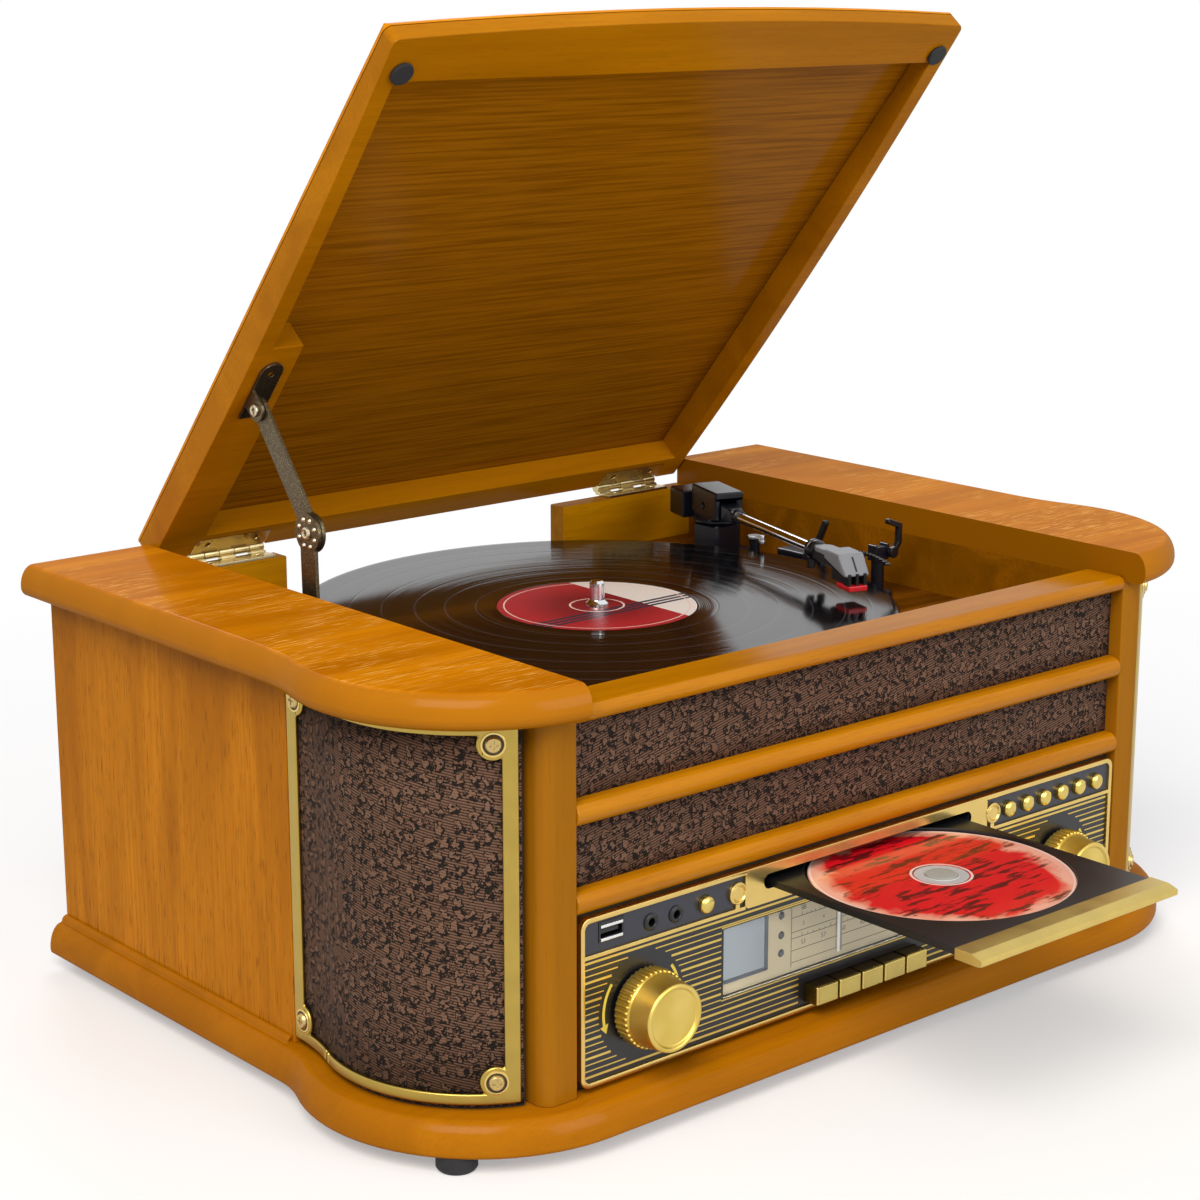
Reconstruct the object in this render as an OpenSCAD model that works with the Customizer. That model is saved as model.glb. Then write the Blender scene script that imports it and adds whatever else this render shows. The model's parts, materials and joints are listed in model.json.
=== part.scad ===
// Stereo music centre: a wooden table-top cabinet with a record deck under a lid,
// a sliding disc tray, a lit tuning dial and a curved loudspeaker in each front corner.
// X runs to the right, Y to the back, Z up. The rest pose has the lid propped open
// and the disc tray slid out.

/* [Cabinet] */
// Half the width of the record well
well_half = 179; // [172:0.5:190]
// Width of each side wing, from the well wall to the side face
wing_width = 56; // [52:0.5:62]
// Depth from the fascia face to the back edge
body_depth = 329; // [322:0.5:345]
// Height of the top boards above the floor
body_height = 208; // [202:0.5:222]
// Thickness of the top boards
board_thick = 15.6; // [14:0.2:18]
// Height of the feet
foot_height = 8; // [5:0.5:12]
// Thickness of the plinth board
plinth_thick = 15; // [12:0.5:18]

/* [Lid] */
// Angle at which the stay props the lid open
lid_open = 49.8; // [40:0.1:60]
// Thickness of the lid with its rails, at the hinges
lid_thick = 17.5; // [15:0.5:21]
// How far the front edge of the lid bows out at the middle
lid_bow = 6; // [3:0.5:10]

/* [Record deck] */
// Record diameter
record_d = 301; // [298:0.5:303]
// Record centre, left of the middle
record_x = -15; // [-20:0.5:-10]
// Record centre, behind the fascia face
record_y = 176; // [175:0.5:178]
// Depth of the deck below the top boards
deck_drop = 44; // [40:0.5:50]

/* [Disc tray] */
// Travel of the disc tray
tray_travel = 108; // [80:1:115]
// Half the width of the tray
tray_half = 64.5; // [63:0.5:66]
// Disc diameter
disc_d = 120; // [116:0.5:122]

/* [Loudspeakers] */
// Height of the loudspeaker's middle above the floor
driver_z = 107; // [95:1:120]
// Width of the frame's upright strips
strip_wide = 7; // [5:0.5:10]

/* [Hidden] */
$fn = 64;
fit = 0.1;
gap = 0.3;
run = 0.05;

plinth_z = foot_height + plinth_thick;
board_z = body_height - board_thick;
side_x = well_half + wing_width;
panel_thick = 12;
back_thick = 6;
wall_thick = 6;
deck_z = body_height - deck_drop;
deck_thick = 12;
rail_z = body_height - 12.5;
rail_z0 = rail_z - 7.5;
pillar_in = well_half - 1.5;
pillar_out = well_half + 16.5;
pillar_deep = 19.9;

board_side = side_x + 15.5;
board_c = [well_half - 5, 72];
board_r = board_side - well_half + 12.5;
board_y = 127;
plinth_side = side_x + 10.5;
plinth_c = [well_half - 8.3, 71.3];
plinth_r = plinth_side - well_half + 19.3;
plinth_y = 124.5;
frame_c = [well_half - 5, 72];
frame_r = wing_width + 14;
wing_y = 126.5;
frame_R = bend_radius(side_x, wing_y, frame_c, frame_r);
frame_th = atan2(wing_y - frame_c[1], side_x + frame_R - frame_c[0]);
frame_a = 66.7;
frame_z0 = plinth_z + 3;
frame_z1 = board_z - fit;
frame_thick = 2.2;
screw_a = 58;
screw_b = 6.5 / frame_R * 57.296;
screw_z0 = plinth_z + 13;
screw_z1 = board_z - 8.8;

hinge_y = body_depth + 2.9;
hinge_z = body_height - 10.8;
barrel_r = 2.7;
pin_r = 1.3;
lid_half = pillar_in;
lid_back = -1.9;
lid_front = -(7.6 + hinge_y);
lid_low = -0.8;
lid_top = lid_low + lid_thick;
lid_skin = 3.7;
rail_wide = 9.5;
front_rail = 29;
back_rail = 16.5;
bow_R = (lid_half * lid_half + lid_bow * lid_bow) / (2 * lid_bow);
bow_y = lid_front - lid_bow + bow_R;
nose_r = 4;
nose_x = lid_half - nose_r;
nose_y = bow_y - sqrt(pow(bow_R - nose_r, 2) - nose_x * nose_x);
nose_a = asin(nose_x / (bow_R - nose_r));

bezel_deep = 15;
tray_z = 91.2;
tray_thick = 3.3;
tray_front = -tray_travel - 1;
tray_back = 38;
disc_y = tray_front + 66.8;
slot_z0 = tray_z - 0.5;
slot_z1 = tray_z + 6.5;
slot_half = tray_half + 4.5;

y_front = tray_front - bezel_deep;
y_back = hinge_y + lid_back * cos(lid_open) + lid_top * sin(lid_open);
y_mid = (y_front + y_back) / 2;

fascia_z0 = plinth_z + 2.7;
fascia_z1 = fascia_z0 + 76.9;
fascia_half = well_half - 3.4;
trim_wide = 2.2;
volume_x = -140.5;
tuning_x = 135.5;
knob_z = 56;
shaft_r = 3;
key_x = [-33.65, -18.65, -3.65, 11.35, 26.35];
key_z = 34;
key_wide = 13.7;
key_high = 9;
button_x = [-103.9, 96.8, 110.1, 123.1, 136.3, 149.6, 162.8];
button_z = 92.5;
button_r = 4;
dial_x0 = -92.2;
dial_x1 = 93;
dial_z0 = 45;
dial_z1 = 77.5;
socket_z = 92;

mould_a = [104.2, 114.5];
mould_b = [143.2, 153.9];

record_z = deck_z + 15;
mat_z = record_z - 4.5;
spindle_r = 3.6;
bearing_r = 6;
arm_x = 139.5;
arm_y = 253;
arm_z = deck_z + 33;
arm_a = -108.8;
rest_x = 150;
rest_y = 140;

stay_rel = [-126.1, -11.3];
stay_l = [hinge_y + stay_rel[0] * cos(lid_open) + stay_rel[1] * sin(lid_open),
  hinge_z - stay_rel[0] * sin(lid_open) + stay_rel[1] * cos(lid_open)];
stay_m = [hinge_y - 130.2, hinge_z + 36.5];
stay_n = [hinge_y - 131.7, hinge_z - 23.7];
stay_x = -(well_half - 11);
arm_flat = 2;
elbow_r = 3;

wood = [0.72, 0.40, 0.10];
wood_dark = [0.50, 0.27, 0.07];
gold = [0.80, 0.68, 0.32];
brass = [0.70, 0.58, 0.35];
antique = [0.34, 0.28, 0.20];
black = [0.05, 0.05, 0.06];
navy = [0.06, 0.07, 0.10];
cloth = [0.28, 0.20, 0.16];
grey = [0.45, 0.46, 0.48];
green = [0.10, 0.32, 0.18];
mdf = [0.62, 0.50, 0.36];

// Plan position: the drawing's zero is the fascia face, the part's zero is its middle
module place() {
  translate([0, -y_mid, 0]) children();
}

module both() {
  children();
  mirror([1, 0, 0]) children();
}

// A block given by its two opposite corners
module block(a, b) {
  translate(a) cube(b - a);
}

// Flat work standing in the YZ plane, thickened along X
module yz(x0, t) {
  translate([x0, 0, 0]) rotate([90, 0, 90]) linear_extrude(t) children();
}

// Flat work standing in the XZ plane, thickened towards the back
module xz(y0, t) {
  translate([0, y0 + t, 0]) rotate([90, 0, 0]) linear_extrude(t) children();
}

// A round bar along Y
module rod_y(x, z, r, y0, y1) {
  translate([x, y0, z]) rotate([-90, 0, 0]) cylinder(r = r, h = y1 - y0);
}

// A round bar along X
module rod_x(y, z, r, x0, x1) {
  translate([x0, y, z]) rotate([0, 90, 0]) cylinder(r = r, h = x1 - x0);
}

// Rectangle with rounded corners, given by two corners
module rrect(a, b, r) {
  translate(a + [r, 0]) square([b[0] - a[0] - 2 * r, b[1] - a[1]]);
  translate(a + [0, r]) square([b[0] - a[0], b[1] - a[1] - 2 * r]);
  for (x = [a[0] + r, b[0] - r], y = [a[1] + r, b[1] - r]) translate([x, y]) circle(r);
}

// Flat link between two points with round ends
module link2(p, q, r) {
  translate(p) circle(r);
  translate(q) circle(r);
  translate(p) rotate(atan2(q[1] - p[1], q[0] - p[0])) translate([0, -0.985 * r]) square([norm(q - p), 1.97 * r]);
}

// Radius of the easing bend between a straight side and a round front corner
function bend_radius(side, y, c, r) =
  (pow(side - c[0], 2) + pow(y - c[1], 2) - r * r) / (2 * (r - side + c[0]));

function arc(cx, cy, rx, ry, a0, a1, n) =
  [for (i = [0:n]) let (a = a0 + (a1 - a0) * i / n) [cx + rx * cos(a), cy + ry * sin(a)]];

// Edge of the top boards: tight round below, a longer nose above
module board_edge(inner) {
  translate([0, board_z]) polygon(concat([[-inner, 0]],
    arc(-5, 5, 5, 5, -90, 0, 5), arc(-7, 5.6, 7, board_thick - 5.6, 0, 90, 8),
    [[-inner, board_thick]]));
}

// Edge of the plinth: a steep convex face under a flat top
module plinth_edge(inner) {
  translate([0, foot_height]) polygon(concat([[-inner, 0], [-1, 0], [-0.2, 0.5]],
    arc(-7, 2.5, 7, plinth_thick - 2.5, 0, 90, 7), [[-inner, plinth_thick]]));
}

module wing_edge(kind, inner) {
  if (kind == 0) board_edge(inner);
  if (kind == 1) plinth_edge(inner);
}

// One right-hand wing in plan: straight side, easing bend, round front corner about c
module wing(kind, side, y, c, r, x_in, z0, z1) {
  R = bend_radius(side, y, c, r);
  th = atan2(y - c[1], side + R - c[0]);
  block([x_in, c[1] - 20, z0], [side - 12, body_depth, z1]);
  translate([side, body_depth, 0]) rotate([90, 0, 0])
    linear_extrude(body_depth - y) wing_edge(kind, side - x_in);
  intersection() {
    union() {
      translate([side + R, y, 0]) rotate([0, 0, 180])
        rotate_extrude(angle = th) translate([R, 0]) mirror([1, 0]) wing_edge(kind, 92);
      translate([c[0], c[1], 0]) rotate_extrude(angle = th) translate([r, 0]) wing_edge(kind, r - 5);
      translate([c[0], c[1], 0]) rotate([0, 0, -90])
        rotate_extrude(angle = 90) translate([r, 0]) wing_edge(kind, r - 2);
    }
    block([x_in, -60, -10], [side + 40, body_depth, body_height + 10]);
  }
}

// Curved sheet that follows the loudspeaker corner, from inset i0 to i1
module corner_sheet(i0, i1, z0, z1, a_front) {
  translate([frame_c[0], frame_c[1], 0]) {
    mirror([0, 1, 0]) rotate_extrude(angle = a_front)
      translate([frame_r - i1, z0]) square([i1 - i0, z1 - z0]);
    rotate_extrude(angle = frame_th) translate([frame_r - i1, z0]) square([i1 - i0, z1 - z0]);
  }
  translate([side_x + frame_R, wing_y, 0]) rotate([0, 0, 180])
    rotate_extrude(angle = frame_th) translate([frame_R + i0, z0]) square([i1 - i0, z1 - z0]);
}

// Screw places of one loudspeaker frame; local Z points out of the frame's face
module at_screws() {
  for (z = [screw_z0, screw_z1]) {
    translate([frame_c[0], frame_c[1], z]) rotate([0, 0, -screw_a]) translate([frame_r, 0, 0])
      rotate([0, 90, 0]) children();
    translate([side_x + frame_R, wing_y, z]) rotate([0, 0, 180 + screw_b]) translate([frame_R, 0, 0])
      rotate([0, -90, 0]) children();
  }
}

module base_plinth() color(wood) place() {
  both() {
    wing(1, plinth_side, plinth_y, plinth_c, plinth_r, plinth_c[0], foot_height, plinth_z);
    difference() {
      yz_bead();
      block([0, 0, 0], [side_x + fit, body_depth, body_height]);
    }
  }
  translate([-plinth_c[0], plinth_c[1] - plinth_r, 0]) mirror([0, 1, 0]) rotate([90, 0, 90])
    linear_extrude(2 * plinth_c[0]) plinth_edge(body_depth - plinth_c[1] + plinth_r);
}

// Quarter-round bead at the foot of the side panel
module yz_bead() {
  translate([0, body_depth, 0]) rotate([90, 0, 0])
    linear_extrude(body_depth - wing_y - 2) intersection() {
      translate([side_x, plinth_z]) circle(3.3);
      translate([side_x, plinth_z - 1]) square(10);
    }
}

module feet() color(black) place() {
  both() for (y = [20, body_depth - 24]) translate([well_half + 48, y, 0]) {
    cylinder(r1 = 8, r2 = 9, h = 1.5);
    translate([0, 0, 1.5]) cylinder(r = 9, h = foot_height - 1.5);
  }
}

module side_panels() color(wood) place() {
  both() block([side_x - panel_thick, wing_y + gap, plinth_z], [side_x, body_depth, board_z]);
}

module inner_walls() color(wood) place() {
  both() difference() {
    block([well_half, pillar_deep + fit, plinth_z],
      [well_half + wall_thick, body_depth - back_thick - fit, board_z]);
    for (y = [150, 230]) translate([well_half - 1, y, plinth_z + 30]) rotate([0, 90, 0])
      cylinder(r = 14, h = wall_thick + 2);
  }
}

module back_panel() color(mdf) place() {
  y = body_depth - back_thick;
  difference() {
    union() {
      block([-side_x + panel_thick + fit, y, plinth_z], [side_x - panel_thick - fit, body_depth, deck_z - deck_thick]);
      both() block([well_half + fit, y, deck_z - deck_thick], [side_x - panel_thick - fit, body_depth, board_z]);
    }
    for (x = [-60:20:40]) xz(y - 1, back_thick + 2) rrect([x - 3, plinth_z + 62], [x + 3, plinth_z + 102], 2.9);
    for (x = [84, 102]) rod_y(x, 62, 4.3, y - 1, body_depth + 1);
    rod_y(-150, 45, 6.2, y - 1, body_depth + 1);
  }
}

module front_pillars() color(wood) place() {
  both() translate([0, 0, plinth_z]) linear_extrude(board_z - plinth_z) {
    translate([pillar_in, 0]) square([pillar_out - pillar_in - 7, pillar_deep]);
    translate([pillar_in, 7]) square([pillar_out - pillar_in, pillar_deep - 7]);
    translate([pillar_out - 7, 7]) circle(7);
  }
}

module top_board_right() color(wood) place() {
  wing(0, board_side, board_y, board_c, board_r, well_half, board_z, body_height);
}

module top_board_left() color(wood) place() {
  mirror([1, 0, 0]) wing(0, board_side, board_y, board_c, board_r, well_half, board_z, body_height);
}

// Half-round moulding in front of the cloth; z0 and z1 are its edges
module moulding(z0, z1) {
  r = (z1 - z0) / 2;
  yz(-pillar_in + fit, 2 * pillar_in - 2 * fit) {
    translate([r - 1, z0 + r]) circle(r);
    translate([r - 1, z0]) square([14 - r, z1 - z0]);
  }
}

module front_rails() color(wood) place() {
  moulding(mould_a[0], mould_a[1]);
  moulding(mould_b[0], mould_b[1]);
  yz(-pillar_in + fit, 2 * pillar_in - 2 * fit) {
    translate([2.8, rail_z - 3.75]) circle(3.75);
    translate([2.8, rail_z0]) square([19.7, rail_z - rail_z0]);
  }
  block([-well_half + fit, 1.5, board_z + fit], [well_half - fit, 22.5, rail_z - 0.6]);
  block([-pillar_in + fit, 13, deck_z - deck_thick], [pillar_in - fit, 22.5, rail_z0 + 1]);
}

module front_cloths() color(cloth) place() {
  block([-pillar_in + fit, 7, mould_b[1] + fit], [pillar_in - fit, 12.9, rail_z0 - fit]);
  block([-pillar_in + fit, 7, mould_a[1] + fit], [pillar_in - fit, 12.9, mould_b[0] - fit]);
}

// Curved baffle with the loudspeaker behind it
module speaker_unit() {
  difference() {
    corner_sheet(3.6, 9.2, plinth_z + fit, board_z - fit, frame_a + 2);
    translate([frame_c[0], frame_c[1], driver_z]) rotate([0, 0, -20]) rotate([0, 90, 0])
      translate([0, 0, 20]) cylinder(r = 34, h = 60);
    at_screws() translate([0, 0, -12]) cylinder(r = 1.6, h = 20);
  }
  translate([frame_c[0], frame_c[1], driver_z]) rotate([0, 0, -20]) rotate([0, 90, 0])
  translate([0, 0, frame_r - 58.9]) {
    difference() {
      union() {
        translate([0, 0, 34.2]) cylinder(r = 39.4, h = 2);
        translate([0, 0, 24]) cylinder(r1 = 20, r2 = 35, h = 10.4);
        translate([0, 0, 16.2]) cylinder(r = 17, h = 8);
      }
      translate([0, 0, 27.2]) cylinder(r1 = 9, r2 = 33, h = 9.2);
    }
    translate([0, 0, 27]) cylinder(r1 = 9, r2 = 6, h = 3);
  }
}

module speaker_units() color(black) place() {
  both() speaker_unit();
}

module speaker_cloths() color(cloth) place() {
  both() difference() {
    corner_sheet(2.3, 3.5, plinth_z + fit, board_z - fit, frame_a);
    at_screws() translate([0, 0, -12]) cylinder(r = 1.6, h = 20);
  }
}

// Pressed frame: upright strips, top and bottom strips and four round screw lobes
module speaker_frame() {
  strip_a = strip_wide / frame_r * 57.296;
  difference() {
    corner_sheet(0, frame_thick, frame_z0, frame_z1, frame_a);
    difference() {
      intersection() {
        corner_sheet(-1, frame_thick + 1, frame_z0 + 5, frame_z1 - 5, frame_a - strip_a);
        block([well_half, -30, 0], [side_x + 30, wing_y - strip_wide, body_height]);
      }
      at_screws() translate([0, 0, -6]) cylinder(r = 7, h = 12);
    }
    at_screws() translate([0, 0, -12]) cylinder(r = 1.6, h = 20);
  }
}

module speaker_frame_right() color(gold) place() {
  speaker_frame();
}

module speaker_frame_left() color(gold) place() {
  mirror([1, 0, 0]) speaker_frame();
}

module frame_screws() color(gold) place() {
  both() at_screws() {
    difference() {
      translate([0, 0, 0.15]) cylinder(r1 = 3.7, r2 = 2.9, h = 1.3);
      for (a = [0, 90]) rotate([0, 0, a]) translate([-2, -0.4, 0.75]) cube([4, 0.8, 2]);
    }
    translate([0, 0, -9]) cylinder(r = 1.5, h = 9.2);
  }
}

module deck_board() color(wood_dark) place() {
  difference() {
    block([-well_half + fit, 22.6, deck_z - deck_thick], [well_half - fit, body_depth, deck_z]);
    translate([record_x, record_y, deck_z - deck_thick - 1]) cylinder(r = bearing_r + run, h = deck_thick + 2);
  }
}

module hinge_blocks() color(wood) place() {
  block([-well_half + fit, body_depth - 11, deck_z], [-104, body_depth + 0.9, body_height - 15]);
  block([82.6, body_depth - 11, deck_z], [well_half - fit, body_depth + 0.9, body_height - 15]);
}

hinge_spans = [[-155, -110], [118, 162]];

// Fixed hinge leaves with three knuckles each, and the stud that carries the stay
module cabinet_fittings() color(brass) place() {
  for (s = hinge_spans) {
    k = (s[1] - s[0]) / 5;
    difference() {
      block([s[0], body_depth - 10, body_height - 15], [s[1], hinge_y - 3.4, body_height - 13.4]);
      for (x = [s[0] + 8, s[1] - 8]) translate([x, body_depth - 5.5, body_height - 16]) cylinder(r = 1.7, h = 4);
    }
    for (i = [0, 2, 4]) {
      rod_x(hinge_y, hinge_z, barrel_r, s[0] + i * k, s[0] + (i + 1) * k - gap);
      block([s[0] + i * k, hinge_y - 4, body_height - 14.6], [s[0] + (i + 1) * k - gap, hinge_y, hinge_z - 1.6]);
    }
    rod_x(hinge_y, hinge_z, pin_r, s[0] + 1, s[1] - 1);
  }
  rod_x(stay_n[0], stay_n[1], 8, -well_half + fit, -well_half + 1.6);
  rod_x(stay_n[0], stay_n[1], 4.5, -well_half + 1.5, stay_x - 2.6);
  rod_x(stay_n[0], stay_n[1], 2.5, -well_half + 1, stay_x + 0.8);
  rod_x(stay_n[0], stay_n[1], 3.8, stay_x, stay_x + 0.8);
}

module fascia_panel() color(navy) place() {
  difference() {
    union() {
      xz(1, 5.2) rrect([-fascia_half + trim_wide, fascia_z0 + trim_wide],
        [fascia_half - trim_wide, fascia_z1 - trim_wide], 3);
      block([-pillar_in + gap, 6, plinth_z + fit], [pillar_in - gap, 9, mould_a[0] - fit]);
    }
    xz(0, 12) rrect([-slot_half, slot_z0], [slot_half, slot_z1], 3.4);
    block([dial_x0, 0, dial_z0], [dial_x1, 12, dial_z1]);
    block([key_x[0] - key_wide / 2 - gap, 0, key_z - key_high / 2 - gap],
      [key_x[4] + key_wide / 2 + gap, 12, key_z + key_high / 2 + gap]);
    for (x = [volume_x, tuning_x]) rod_y(x, knob_z, shaft_r + run, 0, 12);
    for (x = button_x) rod_y(x, button_z, button_r + 0.1, 0, 12);
    block([-165.1, 0, socket_z - 2.1], [-150.9, 12, socket_z + 7.1]);
    for (x = [-135.5, -121]) rod_y(x, socket_z, 3.6, 0, 12);
  }
}

// Bright trim: outer rim, dividing bars and the surround of the disc slot
module fascia_trim() color(gold) place() {
  xz(0, 6 - fit) difference() {
    rrect([-fascia_half, fascia_z0], [fascia_half, fascia_z1], 5);
    rrect([-fascia_half + trim_wide - fit, fascia_z0 + trim_wide - fit],
      [fascia_half - trim_wide + fit, fascia_z1 - trim_wide + fit], 3);
  }
  difference() {
    xz(-0.2, 1.1) {
      translate([-fascia_half + trim_wide - 0.5, 84.1]) square([fascia_half - 84, 1.8]);
      translate([84, 84.1]) square([fascia_half - 84 - trim_wide + 0.5, 1.8]);
      rrect([-88, 84.1], [86, 90], 2.5);
      rrect([-77.5, 84.5], [77.5, fascia_z1 - trim_wide + 0.5], 3);
      for (x = [-82, 82]) translate([x, 96]) circle(5.5);
      for (s = [-1, 1]) translate([s * 80 - 6, 84.5]) square([12, 9]);
    }
    xz(-2, 6) rrect([-slot_half, slot_z0], [slot_half, slot_z1], 3.4);
    for (s = [-1, 1]) rod_y(s * 91.5, 91.5, 4.6, -2, 4);
  }
}

module dial_scale() color([0.75, 0.70, 0.58]) place() {
  block([dial_x0 - 2, 9.1, dial_z0 - 2], [dial_x1 + 2, 10.6, dial_z1 + 2]);
  block([dial_x0 + 1, 6.5, dial_z0 + 1], [-66, 9.2, dial_z1 - 0.5]);
  for (z = [57.9, 66.6, 76]) rod_y(-57.5, z, 1.5, 8.3, 9.2);
}

module dial_window() color([0.75, 0.85, 0.90, 0.35]) place() {
  block([dial_x0 + fit, 0.7, dial_z0 + fit], [dial_x1 - fit, 2.2, dial_z1 - fit]);
}

// Port and two jack sockets at the left of the fascia
module front_sockets() color(black) place() {
  difference() {
    block([-165, 0.7, socket_z - 2], [-151, 16, socket_z + 7]);
    block([-164, 0.5, socket_z - 0.2], [-152, 13, socket_z + 5.2]);
  }
  block([-163, 2, socket_z + 1.2], [-153, 13.5, socket_z + 3]);
  for (x = [-135.5, -121]) difference() {
    union() {
      rod_y(x, socket_z, 3.5, 0.4, 10);
      block([x - 4.5, 9.1, socket_z - 4.5], [x + 4.5, 18, socket_z + 4.5]);
    }
    rod_y(x, socket_z, 1.8, 0, 16);
  }
}

// Main board behind the fascia and the power supply on the plinth
module electronics() color(green) place() {
  block([-165, 24, plinth_z + 4], [165, 25.6, 82]);
  for (x = [-168, 168], z = [plinth_z + 10, 76]) rod_y(x * 0.97, z, 3, 9.1, 24.1);
  for (x = [volume_x, tuning_x]) rod_y(x, knob_z, 8, 16.2, 24.1);
  for (x = key_x) block([x - 4, 17.2, key_z - 4], [x + 4, 24.1, key_z + 4]);
  block([-160, 225, plinth_z], [-80, 285, plinth_z + 2]);
  block([-150, 235, plinth_z + 2], [-100, 275, plinth_z + 42]);
  block([-141, 229, plinth_z + 9], [-109, 281, plinth_z + 35]);
}

// Tray guides, cross plate, disc spindle and four posts
module cd_mechanism() color(black) place() {
  both() {
    block([tray_half + 0.4, 12, tray_z - 7.2], [tray_half + 4, 165, tray_z + 6]);
    block([tray_half - 4.5, 12, tray_z - 4.3], [tray_half + 1, 165, tray_z - fit]);
    for (y = [60, 155]) translate([tray_half - 2.5, y, plinth_z]) cylinder(r = 4, h = tray_z - 7.1 - plinth_z);
  }
  block([-tray_half - 4, 30, tray_z - 7.2], [tray_half + 4, 165, tray_z - 4.2]);
  translate([0, disc_y + tray_travel, tray_z - 4.3]) cylinder(r = 12, h = 3.6);
  block([-12, disc_y + tray_travel + 18, tray_z - 4.3], [12, disc_y + tray_travel + 34, tray_z - 0.9]);
}

// Line-out pair and the gland of the mains inlet, on the back panel
module rear_sockets() color(black) place() {
  y = body_depth - back_thick;
  xz(body_depth, 1.5) rrect([74, 50], [112, 74], 3);
  for (x = [84, 102]) difference() {
    rod_y(x, 62, 4.2, y - 6, body_depth + 8);
    rod_y(x, 62, 1.7, y, body_depth + 9);
  }
  difference() {
    union() {
      rod_y(-150, 45, 6.1, y - 6, body_depth + 1);
      rod_y(-150, 45, 8, body_depth, body_depth + 3);
    }
    rod_y(-150, 45, 3.2, y - 7, body_depth + 4);
  }
}

// Foot and column of the tonearm, cueing box, arm rest and the lever post
module tonearm_base() color(black) place() {
  translate([0, 0, deck_z]) {
    difference() {
      union() {
        linear_extrude(6) {
          translate([arm_x, arm_y]) circle(24);
          rrect([136, 186], [160, arm_y], 4);
        }
        translate([arm_x, arm_y, 5.9]) cylinder(r = 13, h = 18);
      }
      translate([arm_x, arm_y, 4]) cylinder(r = 5 + run, h = 21);
    }
    block([142, 188, 5.9], [158, 208, 16]);
    translate([141, 224, 5.9]) cylinder(r = 3, h = 12);
    translate([rest_x, rest_y, 0]) cylinder(r = 8, h = 3);
    translate([rest_x, rest_y, 2.9]) cylinder(r = 3.5, h = 18);
    difference() {
      block([rest_x - 6, rest_y - 4, 20], [rest_x + 4.5, rest_y + 2, 28.6]);
      rod_y(rest_x - 0.5, arm_z - deck_z, 5.2, rest_y - 6, rest_y + 6);
    }
  }
}

// Lid drawn shut, measured from the hinge line, then turned open
module on_lid() {
  place() translate([0, hinge_y, hinge_z]) rotate([-lid_open, 0, 0]) children();
}

// Plan outline of the lid: bowed front, small round front corners
module lid_outline() {
  difference() {
    intersection() {
      translate([0, bow_y]) circle(bow_R, $fn = 720);
      translate([-lid_half, lid_front - lid_bow]) square([2 * lid_half, lid_back - lid_front + lid_bow]);
    }
    for (s = [-1, 1]) polygon([[s * nose_x, nose_y],
      [s * (nose_x + 40 * sin(nose_a)), nose_y - 40 * cos(nose_a)],
      [s * (nose_x + 40), nose_y - 40], [s * (nose_x + 40), nose_y]]);
  }
  for (s = [-1, 1]) translate([s * nose_x, nose_y]) circle(nose_r);
}

// Height of the lid's underside at a distance from the hinge line
function rail_low(s) = lid_low - 0.0343 * s + 0.0001465 * s * s;

function lid_nose(half) = arc(half - lid_skin, lid_top - lid_skin, lid_skin, lid_skin, 0, 90, 6);

// Top panel of the lid, its edge rounded on the sides and along the bowed front
module lid_panel() color(wood) on_lid() {
  intersection() {
    translate([0, 0, lid_top - lid_skin]) linear_extrude(lid_skin) lid_outline();
    xz(lid_front - lid_bow - 10, lid_back - lid_front + lid_bow + 20)
      polygon(concat([[lid_half, 0]], lid_nose(lid_half),
        [for (i = [6:-1:0]) [-lid_nose(lid_half)[i][0], lid_nose(lid_half)[i][1]]], [[-lid_half, 0]]));
    translate([0, bow_y, 0]) rotate_extrude($fn = 720)
      polygon(concat([[1, 0], [bow_R, 0]], lid_nose(bow_R), [[1, lid_top]]));
  }
}

// Rails round the lid's recess, their underside slightly arched, and the batten for the stay
module lid_frame() color(wood) on_lid() {
  difference() {
    intersection() {
      translate([0, 0, -8]) linear_extrude(lid_top - lid_skin - 0.05 + 8) {
        difference() {
          lid_outline();
          translate([-lid_half + rail_wide, lid_front - lid_bow + front_rail])
            square([2 * lid_half - 2 * rail_wide, -lid_front + lid_bow - front_rail - back_rail + lid_back]);
        }
        translate([-lid_half + rail_wide - 1, -158.5]) square([18, 158.5 - back_rail + lid_back + 1]);
      }
      yz(-lid_half - 5, 2 * lid_half + 10) polygon(concat([[5, lid_top], [5, lid_low]],
        [for (i = [0:12]) [-i * 30, rail_low(i * 30)]], [[-360, lid_top]]));
    }
    for (s = hinge_spans) {
      rod_x(0, 0, barrel_r + 0.5, s[0] - 0.5, s[1] + 0.5);
      block([s[0] - fit, -14 - fit, -4], [s[1] + fit, 1, 0.5 + fit]);
    }
  }
}

module lid_bumpers() color(black) on_lid() {
  for (x = [-167, 168.5]) translate([x, -322, rail_low(322)])
    rotate([-3.42, 0, 0]) translate([0, 0, -2.05]) cylinder(r = 5.7, h = 2);
}

// Lid leaves of the two hinges, and the bracket that carries the stay
module lid_fittings() color(brass) on_lid() {
  for (s = hinge_spans) {
    k = (s[1] - s[0]) / 5;
    difference() {
      union() {
        block([s[0], -14, -1], [s[1], -3.4, 0.5]);
        for (i = [1, 3]) {
          rod_x(0, 0, barrel_r, s[0] + i * k, s[0] + (i + 1) * k - gap);
          block([s[0] + i * k, -4, -1], [s[0] + (i + 1) * k - gap, 0, 0.5]);
        }
      }
      rod_x(0, 0, pin_r + run, s[0] - 1, s[1] + 1);
      for (x = [s[0] + 8, s[1] - 8]) translate([x, -9.5, -3]) cylinder(r = 1.7, h = 4);
    }
  }
  stay_bracket();
}

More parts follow.
